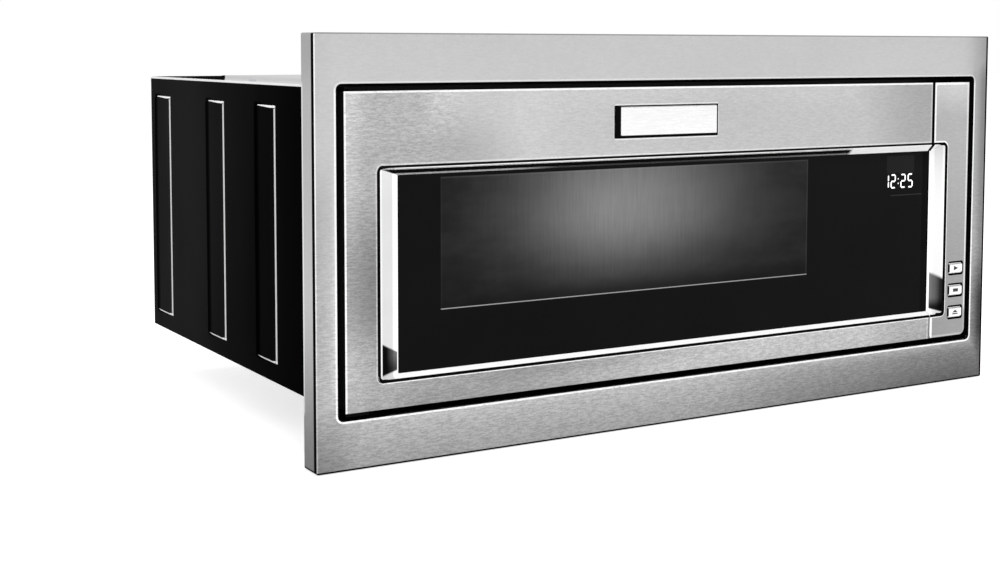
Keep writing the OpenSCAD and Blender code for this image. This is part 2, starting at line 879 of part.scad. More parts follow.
module waveguide() {
    x1 = bay_x0 + guide_w;
    y1 = guide_y0 + guide_len;
    z1 = guide_z0 + guide_h;
    color("#b8babb") difference() {
        union() {
            block([bay_x0, guide_y0, guide_z0], [x1, y1, z1]);
            block([bay_x0, guide_y0 - guide_lap, guide_z0 + guide_lap_z],
                [bay_x0 + sheet, y1 + guide_lap, z1 - guide_lap_z]);
        }
        block([bay_x0 + sheet, guide_y0 + sheet, guide_z0 + sheet], [x1 - sheet, y1 - sheet, z1 - sheet]);
        port(bay_x0 - 1, bay_x0 + 2);
        bar_x(x1 - sheet - 1, x1 + 1, mag_y, mag_z, gasket_r + 1);
    }
}

module lamp_holder() {
    w = lamp_box[0] / 2;
    h = lamp_box[1] / 2;
    ear_w = lamp_ear[0] / 2;
    ear_h = lamp_ear[1] / 2;
    x1 = bay_x0 + lamp_out;
    color("#a9abad") difference() {
        union() {
            block([bay_x0, lamp_y - w, lamp_z - h], [x1, lamp_y + w, lamp_z + h]);
            block([bay_x0, lamp_y - ear_w, lamp_z - ear_h], [bay_x0 + sheet, lamp_y + ear_w, lamp_z + ear_h]);
        }
        block([bay_x0 - 1, lamp_y - w + sheet, lamp_z - h + sheet],
            [x1 - sheet, lamp_y + w - sheet, lamp_z + h - sheet]);
        bar_x(x1 - sheet - 1, x1 + 1, lamp_y, lamp_z, lamp_neck_r + 0.1);
    }
}

module lamp() {
    bulb = [for (a = [0:15:120]) [lamp_r * sin(a), lamp_r * (1 - cos(a))]];
    neck_y = 2 * lamp_r - 1;
    end_y = lamp_out + 5;
    color("#e8e2cf") translate([bay_x0 + 3, lamp_y, lamp_z]) rotate([0, 90, 0])
        rotate_extrude() polygon(concat(bulb, [[lamp_neck_r, neck_y], [lamp_neck_r, end_y], [0, end_y]]));
}

module thermal_cutout() {
    x = cav_x1 - cutout_in;
    z = cav_z1 + cavity_t;
    top = z + 1 + cutout_r;
    ear = 2 * cutout_r + 1;
    color("#2b2b2c") {
        along_z(z, z + 1) rounded(x - ear, x + ear, cav_cy - cutout_r, cav_cy + cutout_r, cutout_r / 2);
        bar_z(z + 1, top, x, cav_cy, cutout_r);
        for (s = [-1, 1]) translate([x + s * 5.5, cav_cy, top])
            along_z(0, 7) square([1, tab_w], center = true);
    }
}

// Power

module magnetron() {
    x0 = mag_x0 + mag_flange;
    x1 = x0 + yoke_l;
    can = filter_can;
    half = mag_plate / 2;
    color("#9fa3a6") {
        block([mag_x0, mag_y - half, mag_z - half], [x0, mag_y + half, mag_z + half]);
        bar_x(mag_x0 - antenna_l, mag_x0, mag_y, mag_z, antenna_r);
        bar_x(mag_x0 - 5, mag_x0, mag_y, mag_z, gasket_r);
        along_y(mag_y - yoke_d / 2, mag_y + yoke_d / 2)
            translate([(x0 + x1) / 2, mag_z]) tube_outline(yoke_l, yoke_h, 3, yoke_t);
        bar_x(x0, x1, mag_y, mag_z, anode_r);
        bar_x(x0 + yoke_t - eps, x0 + yoke_t + pole_h, mag_y, mag_z, pole_r);
        bar_x(x1 - yoke_t - pole_h, x1, mag_y, mag_z, pole_r);
        block([x1, mag_y - can[1] / 2, mag_z - can[2] / 2],
            [x1 + can[0], mag_y + can[1] / 2, mag_z + can[2] / 2]);
    }
}

module magnetron_fins() {
    x0 = mag_x0 + mag_flange + yoke_t + pole_h;
    room = yoke_l - 2 * (yoke_t + pole_h);
    y = yoke_d / 2 - fin_in;
    z = yoke_h / 2 - yoke_t;
    color("#c3c6c8") for (i = [1:fin_n]) {
        x = x0 + room * i / (fin_n + 1) - fin_t / 2;
        difference() {
            block([x, mag_y - y, mag_z - z], [x + fin_t, mag_y + y, mag_z + z]);
            bar_x(x - 1, x + fin_t + 1, mag_y, mag_z, anode_r);
        }
    }
}

module transformer_core() {
    mid_z = (core_z0 + core_z1) / 2;
    half_w = lam_w / 2;
    half_d = lam_d / 2 - 4;
    color("#5b5d60") {
        along_y(lam_y - lam_d / 2, lam_y + lam_d / 2) difference() {
            translate([lam_x, mid_z]) square([lam_w, lam_h], center = true);
            for (s = [-1, 1]) translate([lam_x + s * (half_w - 1.5 * lam_leg), mid_z])
                square([lam_leg, lam_h - 2 * lam_leg], center = true);
        }
        difference() {
            block([lam_x - half_w - foot_out, lam_y - half_d, inner_low],
                [lam_x + half_w + foot_out, lam_y + half_d, core_z0 + eps]);
            for (x = [-1, 1], y = [-1, 1])
                bar_z(inner_low - 1, core_z0 + 1, lam_x + x * (half_w + foot_out / 2),
                    lam_y + y * (half_d - foot_out), foot_hole_r);
        }
    }
}

// One coil round the core's middle leg.
module winding(z0, z1, out) {
    along_z(z0, z1) difference() {
        rounded(lam_x - lam_leg - out, lam_x + lam_leg + out,
            lam_y - lam_d / 2 - out, lam_y + lam_d / 2 + out, out);
        square_at(lam_x, lam_y, 2 * lam_leg, lam_d);
    }
}

module square_at(x, y, w, d) {
    translate([x, y]) square([w, d], center = true);
}

module transformer_windings() {
    win_z0 = core_z0 + lam_leg;
    win_z1 = core_z1 - lam_leg;
    low = (win_z0 + win_z1 - shunt_h) / 2;
    color("#a8632c") {
        winding(win_z0 + coil_gap, low, lam_leg - 1.5);
        winding(low + shunt_h, win_z1 - coil_gap, lam_leg - 1);
    }
    color("#c8b48a") winding(low, low + shunt_h, 4);
}

module capacitor() {
    z0 = inner_low + strap_t;
    color("#b6b8ba") {
        along_y(cap_y0, cap_y0 + cap_l) rounded(cap_x - cap_r, cap_x + cap_r, z0, z0 + cap_h, cap_r - 1);
        for (z = tab_z)
            block([cap_x - tab_w / 2, cap_y0 - cap_tab, z0 + z], [cap_x + tab_w / 2, cap_y0, z0 + z + 1]);
    }
}

module capacitor_strap() {
    y = cap_y0 + (cap_l - strap_w) / 2;
    x0 = cap_x - cap_r;
    x1 = cap_x + cap_r;
    z0 = inner_low + strap_t;
    color("#8d9093") along_y(y, y + strap_w) difference() {
        union() {
            rounded(x0 - strap_t, x1 + strap_t, inner_low, z0 + cap_h + strap_t, cap_r);
            square_from(x0 - strap_foot, x1 + 2 * strap_t, inner_low, z0);
        }
        rounded(x0, x1, z0, z0 + cap_h, cap_r - 1);
    }
}

module filter_board() {
    y1 = filter_y0 + filter_w;
    z1 = filter_z0 + filter_h;
    face = board_x + board_t;
    color("#2f5d3a") {
        block([board_x, filter_y0, filter_z0], [face, y1, z1]);
        for (y = [filter_y0 + filter_in, y1 - filter_in], z = [filter_z0 + filter_in, z1 - filter_in])
            bar_x(bay_x0, board_x, y, z, 3);
        translate([face, filter_y0, filter_z0]) {
            block([0, 10, 10], [18, 34, 30]);
            block([0, 60, 45], [22, 88, 70]);
            bar_x(0, 20, 25, 57, 11);
            bar_x(0, 14, 70, 22, 9);
        }
    }
}

// Cooling

module air_duct() {
    x0 = bay_cx - duct_half;
    x1 = bay_cx + duct_half;
    z0 = fan_z - duct_half;
    z1 = fan_z + duct_half;
    y0 = mag_y + yoke_d / 2 + 2;
    t = duct_t;
    mouth = yoke_h / 2 - 3;
    color("#d7d3c6") difference() {
        block([x0, y0, z0], [x1, shroud_y, z1]);
        block([x0 + t, y0 + t, z0 + t], [x1 - t, shroud_y + 1, z1 - t]);
        block([mag_x0 + mag_flange + 3, y0 - 1, mag_z - mouth],
            [mag_x0 + mag_flange + yoke_l - 3, y0 + t + 1, mag_z + mouth]);
    }
}

module fan_shroud() {
    x0 = bay_cx - shroud_half;
    x1 = bay_cx + shroud_half;
    foot_x1 = half_w - hem - 1;
    foot_z1 = inner_low + shroud_t;
    ring_r = fan_r + ring_gap;
    color("#bdbfc1") difference() {
        union() {
            block([x0, shroud_y, foot_z1], [x1, shroud_y + shroud_t, fan_z + shroud_half + 5]);
            block([x0, shroud_y, inner_low], [foot_x1, shroud_y + shroud_foot, foot_z1]);
            bar_y(shroud_y - ring_len, shroud_y, bay_cx, fan_z, ring_r + ring_wall);
        }
        bar_y(shroud_y - ring_len - 1, shroud_y + shroud_t + 1, bay_cx, fan_z, ring_r);
    }
}

module fan_motor() {
    y0 = shroud_y + shroud_t;
    y1 = y0 + fan_motor_l;
    color("#6a6d70") difference() {
        union() {
            along_y(y0, y0 + 3) union() {
                for (a = [0:60:120]) translate([bay_cx, fan_z]) rotate(a)
                    square([2 * (fan_r + ring_gap + 8), 9], center = true);
                translate([bay_cx, fan_z]) circle(r = 20);
            }
            bar_y(y0 + 3, y1, bay_cx, fan_z, 18);
            block([bay_cx - 22, y0 + 3, fan_z - 30], [bay_cx + 22, y1 - 3, fan_z + 14]);
        }
        bar_y(y0 - 1, y1 + 1, bay_cx, fan_z, fan_shaft_r + run_fit);
    }
}

// One flat blade set at the pitch angle, trimmed to the wheel's round outline.
module fan_blade(y0, y1) {
    mid = (y0 + y1) / 2;
    root = fan_hub_r - 5;
    tip = fan_r + 5;
    intersection() {
        translate([0, mid, fan_r / 2]) rotate([0, 0, blade_pitch])
            cube([blade_w, blade_t, 2 * tip], center = true);
        bar_y(y0, y1, 0, 0, fan_r);
        block([-blade_w, y0, root], [blade_w, y1, tip]);
    }
}

module fan_wheel() {
    y0 = shroud_y - ring_len + 2;
    y1 = shroud_y - 2;
    color("#d9d9d4") translate([bay_cx, 0, fan_z]) {
        bar_y(y0, y1, 0, 0, fan_hub_r);
        for (i = [0:blade_n - 1]) rotate([0, i * 360 / blade_n, 0]) fan_blade(y0, y1);
        bar_y(y1, shroud_y + shroud_t + fan_motor_l + 3, 0, 0, fan_shaft_r);
    }
}

// Turntable

module turntable_motor() {
    z1 = well_under;
    z0 = z1 - motor_h;
    color("#b4b6b8") translate([cav_cx, cav_cy, 0]) difference() {
        union() {
            bar_z(z0, z1, 0, 0, motor_r);
            along_z(z1 - 1.5, z1) rounded(-motor_r - motor_ear, motor_r + motor_ear, -7, 7, 6);
            block([-motor_r - 4, -10, z0 + 2], [0, 10, z1 - 2]);
        }
        bar_z(z0 + 4, z1 + 1, 0, 0, shaft_r + run_fit);
        for (s = [-1, 1]) bar_z(z0 - 1, z1 + 1, s * (motor_r + motor_ear / 2), 0, 2);
    }
}

module motor_shaft() {
    color("#8f9296") bar_z(well_under - motor_h + 4 + loose, tray_z - lug_h, cav_cx, cav_cy, shaft_r);
}

module drive_coupler() {
    color("#e4dfd2") translate([cav_cx, cav_cy, 0]) difference() {
        union() {
            bar_z(coupler_z0, tray_z, 0, 0, hub_r);
            for (a = [0:120:240]) rotate(a) {
                bar_z(coupler_z0 + 4, tray_z, lobe_at, 0, lobe_r);
                block([0, -lobe_r, coupler_z0 + 4], [lobe_at, lobe_r, tray_z]);
            }
        }
        bar_z(coupler_z0 - 1, tray_z - lug_h, 0, 0, shaft_r);
    }
}

module turntable_tray() {
    rim_x = tray_r - 5;
    color("#cfe3e6", 0.5) translate([cav_cx, cav_cy, tray_z]) {
        rotate_extrude($fn = 96) polygon([
            [0, 0], [rim_x - 12, 0], [rim_x - 3, 2], [tray_r, tray_rim - 2], [tray_r, tray_rim],
            [tray_r - 3, tray_rim], [rim_x - 6, tray_t + 2], [rim_x - 14, tray_t], [0, tray_t]
        ]);
        rotate_extrude($fn = 96) polygon([
            [ring_in - 6, eps], [ring_in - 1.5, eps], [ring_in - 2.5, -4], [ring_in - 5, -4]
        ]);
        for (a = [60:120:300]) rotate(a) bar_z(-lug_h, eps, lobe_at + 2, 0, lug_r);
    }
}

module roller_ring() {
    color("#dad7ce") translate([cav_cx, cav_cy, roller_z]) {
        difference() {
            bar_z(-ring_h / 2, ring_h / 2, 0, 0, ring_out);
            bar_z(-ring_h / 2 - 1, ring_h / 2 + 1, 0, 0, ring_in);
        }
        for (i = [0:roller_n - 1]) rotate(i * 360 / roller_n) {
            cap_x0 = track_r + roller_w / 2 + loose;
            bar_x(ring_out - 2, cap_x0 + axle_cap, 0, 0, axle_r);
            bar_x(cap_x0, cap_x0 + axle_cap, 0, 0, 3);
            bar_x(ring_out - 2, track_r - roller_w / 2 - loose, 0, 0, 3.2);
        }
    }
}

module roller(i) {
    color("#efefec") translate([cav_cx, cav_cy, roller_z]) rotate(i * 360 / roller_n) difference() {
        bar_x(track_r - roller_w / 2, track_r + roller_w / 2, 0, 0, roller_r);
        bar_x(track_r - roller_w, track_r + roller_w, 0, 0, axle_r + run_fit);
    }
}

module roller_1() {
    roller(0);
}

module roller_2() {
    roller(1);
}

module roller_3() {
    roller(2);
}

// Bezel

// The space inside the bezel, open at the front and narrowing down to the glass.
module bezel_recess() {
    front = face_y - bezel_rim;
    deep = glass_y - bezel_edge;
    x0 = bezel_x0 + bezel_lip;
    x1 = bezel_x1 - bezel_lip;
    z0 = -bezel_down + bezel_lip;
    z1 = bezel_up - bezel_lip;
    inner_x0 = bezel_x0 + bezel_slope_x;
    inner_x1 = bezel_x1 - bezel_slope_x;
    inner_z0 = -bezel_down + bezel_slope_low;
    inner_z1 = bezel_up - bezel_slope_top;
    intersection() {
        along_z(z0 - 2, z1 + 2) polygon([
            [x0, front - 1], [x0, front], [inner_x0, deep], [inner_x0, glass_y + 1],
            [inner_x1, glass_y + 1], [inner_x1, deep], [x1, front], [x1, front - 1]
        ]);
        along_x(x0 - 2, x1 + 2) polygon([
            [front - 1, z0], [front, z0], [deep, inner_z0], [glass_y + 1, inner_z0],
            [glass_y + 1, inner_z1], [deep, inner_z1], [front, z1], [front - 1, z1]
        ]);
    }
}

module bezel_outline() {
    rounded(bezel_x0, bezel_x1, -bezel_down, bezel_up, bezel_r);
}

module door_bezel() {
    color("#e6e7e8") difference() {
        along_y(face_y - bezel_rim, glass_y) bezel_outline();
        bezel_recess();
        block([door_x1, face_y - 5, -bezel_down - 1], [bezel_x1 + 1, glass_y + 1, bezel_up + 1]);
    }
}

module control_bezel() {
    color("#e6e7e8") difference() {
        along_y(face_y - bezel_rim, glass_y + housing_seat) bezel_outline();
        bezel_recess();
        block([bezel_x0 - 1, face_y - 5, -bezel_down - 1], [strip_x0, glass_y + 4, bezel_up + 1]);
    }
}

// Control strip

module control_strip() {
    color("silver") {
        along_y(face_y, skin_back) difference() {
            square_from(strip_x0, front_x1, -front_h / 2, front_h / 2);
            offset_bezel();
            for (z = [open_button_z, cancel_z, start_z]) button_opening(z);
        }
        for (s = [0, 1]) mirror([0, 0, s])
            block([strip_x0, face_y, front_h / 2 - skin_t], [front_x1, skin_edge, front_h / 2]);
        block([front_x1 - skin_t, face_y, -front_h / 2], [front_x1, skin_edge, front_h / 2]);
    }
}

module square_from(x0, x1, z0, z1) {
    translate([x0, z0]) square([x1 - x0, z1 - z0]);
}

module offset_bezel() {
    g = bezel_gap;
    rounded(bezel_x0 - g, bezel_x1 + g, -bezel_down - g, bezel_up + g, bezel_r + g);
}

module button_opening(z) {
    w = button_w / 2 + button_gap;
    h = button_h / 2 + button_gap;
    rounded(button_x - w, button_x + w, z - h, z + h, 1);
}

module control_housing() {
    x0 = housing_x0;
    x1 = housing_x1;
    wall = housing_wall;
    seat = glass_y + housing_seat;
    color("#1b1b1c") difference() {
        union() {
            along_y(skin_back, front_plate_y) difference() {
                rounded(x0, x1, -housing_h, housing_h, 2);
                rounded(x0 + wall, x1 - wall, -housing_h + wall, housing_h - wall, 1);
            }
            along_y(seat, seat + wall) rounded(x0, x1, -housing_h, housing_h, 2);
            for (z = [start_z, cancel_z]) bar_y(seat + 1, board_y, button_x - 8, z, 3);
        }
        along_y(skin_back - 1, seat) offset_bezel();
        for (z = [open_button_z, cancel_z, start_z]) bar_y(seat - 1, seat + wall + 1, button_x, z, 2.8);
    }
}

module button_board() {
    x0 = housing_x0 + board_in;
    back = board_y + board_t;
    color("#2f5d3a") {
        difference() {
            block([x0, board_y, cancel_z - 8], [housing_x1 - 3, back, start_z + 12]);
            bar_y(board_y - 1, back + 1, button_x - 26, cancel_z, 1.6);
        }
        for (z = [start_z, cancel_z]) translate([button_x, board_y, z])
            along_y(-tact_h, 0) square(tact_w, center = true);
        block([x0, back, cancel_z - 3], [x0 + 8, front_plate_y, cancel_z + 3]);
    }
}

// A push button with its lip behind the strip and a round stem.
module push_button(z, travel, stem_end) {
    w = button_w / 2;
    h = button_h / 2;
    e = button_edge;
    lip_h = h + button_gap + lip_w;
    lip_y0 = skin_back + lip_fit;
    color("#cfd1d2") {
        along_y(button_face + button_crown, lip_y) rounded(button_x - w, button_x + w, z - h, z + h, 1);
        along_y(button_face, button_face + button_crown)
            rounded(button_x - w + e, button_x + w - e, z - h + e, z + h - e, 0.8);
        along_y(lip_y0, lip_y0 + lip_t) rounded(button_x - w + e, button_x + w - e, z - lip_h, z + lip_h, 1);
        bar_y(lip_y - 1, stem_end, button_x, z, stem_r);
    }
}

module start_button() {
    push_button(start_z, short_travel, board_y - tact_h - short_travel - loose);
}

module cancel_button() {
    push_button(cancel_z, short_travel, board_y - tact_h - short_travel - loose);
}

module open_button() {
    push_button(open_button_z, open_travel, lever_y - 2 - loose);
}

// Door release

module release_lever() {
    pad_x = hook_w / 2 - 1;
    color("#e9e6dd") {
        bar_x(lever_x0, lever_x1, lever_y, lever_z, lever_r);
        along_x(button_x - 3, button_x + 3) polygon([
            [lever_y - 2, lever_z], [lever_y - 2, lever_z - lever_arm - 2],
            [lever_y + 1.5, lever_z - lever_arm - 2], [lever_y + 2, lever_z]
        ]);
        along_x(hook_x - pad_x, hook_x + pad_x) polygon([
            [lever_y, lever_z + 2], [lever_y + 9, lever_z + 1], [lever_y + 10, pad_z],
            [lever_y + 13, pad_z], [lever_y + 13, lever_z - 2], [lever_y, lever_z - 2]
        ]);
    }
}

module latch_bracket() {
    flange_y = fp_back + bracket_t;
    x0 = hook_x - 16;
    color("#dedbd0") difference() {
        union() {
            block([x0, fp_back, bracket_z0], [web_x + bracket_t, flange_y, bracket_z1]);
            block([web_x, fp_back, bracket_z0], [web_x + bracket_t, bracket_y1, bracket_z1]);
            block([web_x, fp_back, bracket_z0], [lever_x1 + 3, flange_y, lever_z + 8]);
            block([lever_x1 - 4, fp_back, bracket_z0], [lever_x1 - 1, lever_y + 6, lever_z + 8]);
            block([x0, bracket_y1 - 1, bracket_z0 + 20], [web_x + bracket_t, bracket_y1, bracket_z1]);
        }
        hook_slots(fp_back - 1, flange_y + 1);
        bar_x(x0 - 1, lever_x1 + 10, lever_y, lever_z, lever_r + run_fit);
        bar_y(fp_back - 1, flange_y + 1, button_x, open_button_z, stem_hole_r);
    }
}

// One switch with its plunger towards the hook.
module micro_switch(z) {
    color("#202021") {
        block([web_x - switch_w, switch_y + 1, z - switch_h / 2],
            [web_x, switch_y + 1 + switch_l, z + switch_h / 2]);
        bar_y(switch_y, switch_y + 1, web_x - switch_w / 2, z, 1);
    }
}

module interlock_switches() {
    lower = hook_z0 + hook_rise + 6;
    micro_switch(lower);
    micro_switch(hook_z0 + hook_apart - 7);
    micro_switch(hook_z0 + hook_apart + 9);
}

// Hinges

// The upper hinge bracket with its riveted pin; the lower one is its mirror image.
module hinge_bracket() {
    z0 = front_h / 2 + hinge_space;
    z1 = z0 + hinge_t;
    difference() {
        union() {
            block([hinge_x0, pin_y - 5, z0], [hinge_x1, front_plate_y, z1]);
            block([hinge_x0, front_plate_y - hinge_t, z1 - hinge_leg], [hinge_x1, front_plate_y, z1]);
            bar_z(front_h / 2 - frame_inset - pin_deep + 1, z1 + 0.5, pin_x, pin_y, pin_r);
            bar_z(front_h / 2 + loose, z0, pin_x, pin_y, pin_r + 2);
        }
        for (up = hinge_rivets) translate([(hinge_x0 + hinge_x1) / 2, front_plate_y, z1 - hinge_leg + up])
            bar_y(-hinge_t - 1, 1, 0, 0, rivet_r);
    }
}

module hinge_brackets() {
    color("#3a3b3d") for (s = [0, 1]) mirror([0, 0, s]) hinge_bracket();
}

// Door

module door_skin() {
    color("silver") {
        along_y(face_y, skin_back) difference() {
            square_from(front_x0, door_x1, -front_h / 2, front_h / 2);
            offset_bezel();
        }
        for (s = [0, 1]) mirror([0, 0, s])
            block([front_x0, face_y, front_h / 2 - skin_t], [door_x1, skin_edge, front_h / 2]);
        block([front_x0, face_y, -front_h / 2], [front_x0 + skin_t, skin_edge, front_h / 2]);
    }
}

module door_glass() {
    color("#121214", 0.85) along_y(glass_y, glass_back)
        square_from(glass_x0, door_x1, glass_z0, glass_z1);
}

module door_frame() {
    seat_y = glass_back + seat_d;
    color("#171718") difference() {
        union() {
            difference() {
                along_y(skin_back, frame_back) rounded(frame_x0, door_x1, -frame_hz, frame_hz, 1);
                along_y(skin_back + door_wall, frame_back + 1)
                    rounded(frame_x0 + door_wall, door_x1 - door_wall, -frame_hz + door_wall,
                        frame_hz - door_wall, 1);
            }
            along_y(skin_back + 1, seat_y)
                rounded(bezel_x0 - seat_w, door_x1, -bezel_down - seat_w, bezel_up + seat_w, 4);
            for (s = [0, 1]) mirror([0, 0, s])
                bar_z(frame_hz - pin_deep - 3, frame_hz - 1, pin_x, pin_y, boss_r);
            for (x = [window_x0 + 60, window_x0 + 240], z = [-frame_hz + 1, bezel_up + seat_w - 1])
                block([x, skin_back + 1, z], [x + 2, frame_back, z + frame_rib_len(z)]);
            for (s = [-1, 1])
                block([hook_x + s * rail_at - rail_t / 2, skin_back + 1, -frame_hz + 1],
                    [hook_x + s * rail_at + rail_t / 2, frame_back, frame_hz - 1]);
            block([hook_x - rail_at, skin_back + 1, spring_z1],
                [hook_x + rail_at, frame_back, spring_z1 + spring_stop]);
        }
        along_y(skin_back - 1, glass_y) offset_bezel();
        along_y(glass_y - 1, glass_back)
            square_from(glass_x0 - skin_fit, door_x1 + 1, glass_z0 - skin_fit, glass_z1 + skin_fit);
        along_y(glass_back - 1, seat_y + 1) square_from(
            glass_x0 + seat_lap, door_x1 - door_wall, glass_z0 + seat_lap - 1, glass_z1 - seat_lap + 1);
        for (s = [0, 1]) mirror([0, 0, s])
            bar_z(frame_hz - pin_deep - 1, frame_hz + 1, pin_x, pin_y, pin_r + run_fit);
    }
}

function frame_rib_len(z) = z < 0 ? frame_hz - bezel_down - seat_w : frame_hz - bezel_up - seat_w;

module window_screen() {
    color("#3c3d3f") along_y(pan_y - screen_t, pan_y)
        square_from(window_x0 - screen_lap, window_x1 + screen_lap, -window_down - screen_lap, window_up + 2);
}

// The ring that the choke's walls and its cover share.
module choke_ring(y0, y1, grow, wall) {
    in = wall - grow;
    along_y(y0, y1) difference() {
        rounded(choke_x0 - grow, choke_x1 + grow, choke_z0 - grow, choke_z1 + grow, 6);
        rounded(choke_x0 + in, choke_x1 - in, choke_z0 + in, choke_z1 - in, 5);
    }
}

module choke_pan() {
    top = choke_y - choke_cover_t;
    back = pan_y + pan_t;
    color("#9a9c9e") {
        along_y(pan_y, back) difference() {
            square_from(front_x0 + pan_edge, door_x1 - 3, -frame_hz + pan_inset, frame_hz - pan_inset);
            square_from(window_x0, window_x1, -window_down, window_up);
            for (z = [hook_z0, hook_z0 + hook_apart]) square_from(
                hook_x - hook_w / 2 - 1, hook_x + hook_w / 2 + 1, z - 2, z + hook_rise + key_lift + 1.5);
        }
        choke_ring(back, top, 0, choke_wall);
        choke_ring(back, top, -choke_in, choke_wall);
    }
}

module choke_cover() {
    color("#202022") {
        choke_ring(choke_y - choke_cover_t, choke_y, cover_lap, choke_in + 3);
        choke_ring(pan_y + pan_t + 6, choke_y - choke_cover_t, cover_lap + eps, cover_skirt);
    }
}

module inner_window() {
    y = pan_y + pan_t;
    color("#9fb0b3", 0.4) along_y(y, y + film_t) square_from(
        window_x0 - film_lap, window_x1 + film_lap, -window_down - film_lap, window_up + film_lap / 2);
}

// Controls in the door

module touch_board() {
    back = touch_y + board_t;
    x1 = hook_x - rail_at - rail_t / 2 - 0.7;
    color("#28503a") {
        block([touch_x0, touch_y, glass_z0 + 12], [x1, back, glass_z1 - board_in]);
        for (dx = touch_pads, z = [glass_z0 + 20, display_z - 54])
            block([touch_x0 + dx, glass_back, z], [touch_x0 + dx + pad_w, touch_y, z + pad_w]);
        block([touch_x0 + 20, back, display_z - 64], [touch_x0 + 60, back + 3, display_z - 24]);
    }
}

module display_module() {
    w = display_half[0];
    h = display_half[1];
    color("#111112")
        block([display_x - w, glass_back, display_z - h], [display_x + w, touch_y, display_z + h]);
}

// A plate with four slanted sides, raised from the door's skin.
module badge_plate() {
    x = front_x0 + badge_x;
    color("#dcdddf") translate([x, face_y, badge_z]) rotate([90, 0, 0]) intersection() {
        along_y(-badge_h / 2, badge_h / 2) plate_profile(badge_w, badge_slope_x);
        along_x(-badge_w / 2, badge_w / 2) plate_profile(badge_h, badge_slope_z);
    }
}

module plate_profile(w, slope) {
    polygon([
        [-w / 2, 0], [-w / 2, badge_edge], [-w / 2 + slope, badge_t], [w / 2 - slope, badge_t],
        [w / 2, badge_edge], [w / 2, 0]
    ]);
}

// The sliding key with two hooks that reach through the front plate.
module latch_key() {
    tip = fp_back + hook_reach;
    barb_y = fp_back + bracket_t + 1;
    color("#e9e6dd") {
        block([hook_x - key_w / 2, key_y0, key_z0], [hook_x + key_w / 2, key_y1, key_z1]);
        for (z = [hook_z0, hook_z0 + hook_apart]) along_x(hook_x - hook_w / 2, hook_x + hook_w / 2) polygon([
            [key_y1 - 1, z + 2], [barb_y, z + barb_d - 1], [barb_y + 1, z], [tip - 2, z],
            [tip, z + 2], [tip - 5, z + hook_rise], [key_y1 - 1, z + hook_rise]
        ]);
    }
}

module latch_spring() {
    color("#a5a8ab") translate([hook_x, (key_y0 + key_y1) / 2, 0]) difference() {
        bar_z(key_z1, spring_z1, 0, 0, spring_r);
        bar_z(key_z1 - 1, spring_z1 + 1, 0, 0, spring_r - spring_wire);
    }
}

trim_frame();
mounting_frame();
trim_clips();
left_side_panel();
right_side_panel();
top_cover();
base_plate();
rear_panel();
cord_gland();
front_plate();
case_screws();
oven_cavity();
waveguide_cover();
waveguide();
lamp();
lamp_holder();
thermal_cutout();
magnetron();
magnetron_fins();
transformer_core();
transformer_windings();
capacitor();
capacitor_strap();
filter_board();
air_duct();
fan_shroud();
fan_motor();
fan_wheel();
turntable_motor();
motor_shaft();
drive_coupler();
turntable_tray();
roller_ring();
roller_1();
roller_2();
roller_3();
control_strip();
control_bezel();
control_housing();
button_board();
start_button();
cancel_button();
open_button();
release_lever();
latch_bracket();
interlock_switches();
hinge_brackets();
door_skin();
door_bezel();
door_glass();
door_frame();
window_screen();
choke_pan();
inner_window();
choke_cover();
touch_board();
display_module();
badge_plate();
latch_key();
latch_spring();
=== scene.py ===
"""Looks for the built-in microwave: materials, small front details, stage, light and camera.

Lengths are in metres. X runs to the right, the front faces -Y, and Z is up.
Tones and masks are numbers from 0 to 1.
"""

import math

import bmesh
import bpy
from mathutils import Matrix, Vector


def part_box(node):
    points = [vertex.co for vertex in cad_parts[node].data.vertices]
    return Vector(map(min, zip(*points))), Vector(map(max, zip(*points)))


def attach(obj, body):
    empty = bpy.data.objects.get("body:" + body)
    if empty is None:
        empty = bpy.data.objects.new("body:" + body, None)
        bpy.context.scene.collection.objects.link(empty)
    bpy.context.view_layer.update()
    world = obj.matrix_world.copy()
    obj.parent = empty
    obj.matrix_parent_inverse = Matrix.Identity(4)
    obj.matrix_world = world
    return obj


MM = 0.001

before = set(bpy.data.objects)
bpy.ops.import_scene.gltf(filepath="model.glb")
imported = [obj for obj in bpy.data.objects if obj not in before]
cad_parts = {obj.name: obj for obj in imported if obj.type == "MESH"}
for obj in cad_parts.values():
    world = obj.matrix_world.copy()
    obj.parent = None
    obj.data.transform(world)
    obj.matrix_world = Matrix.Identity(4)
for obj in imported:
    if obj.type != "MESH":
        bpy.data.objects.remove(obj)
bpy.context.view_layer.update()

# Shader nodes

# The tones of a painted highlight and of painted black, which stands for shade in gaps and dark
# reflections
PAINTED_HIGHLIGHT = 0.97
PAINTED_DARK = 0.004

# Most of a noise lies between these
NOISE_LOW = 0.3
NOISE_HIGH = 0.7

# The places of the colour mix node's sockets
MIX_MASK = 0
MIX_FIRST = 6
MIX_SECOND = 7
MIX_COLOUR = 2


def rgb(value):
    """Three channels, from one number or three."""
    return (value, value, value) if isinstance(value, (int, float)) else value


def rgba(value):
    """The same with a full alpha."""
    return (*rgb(value), 1.0)


def put(tree, socket, value):
    """Links another socket to this one, or sets its number, vector or colour."""
    if isinstance(value, bpy.types.NodeSocket):
        tree.links.new(value, socket)
    else:
        socket.default_value = value


def arithmetic(tree, operation, *values):
    """The result of one calculation on sockets or numbers."""
    made = tree.nodes.new("ShaderNodeMath")
    made.operation = operation
    for socket, value in zip(made.inputs, values):
        put(tree, socket, value)
    return made.outputs[0]


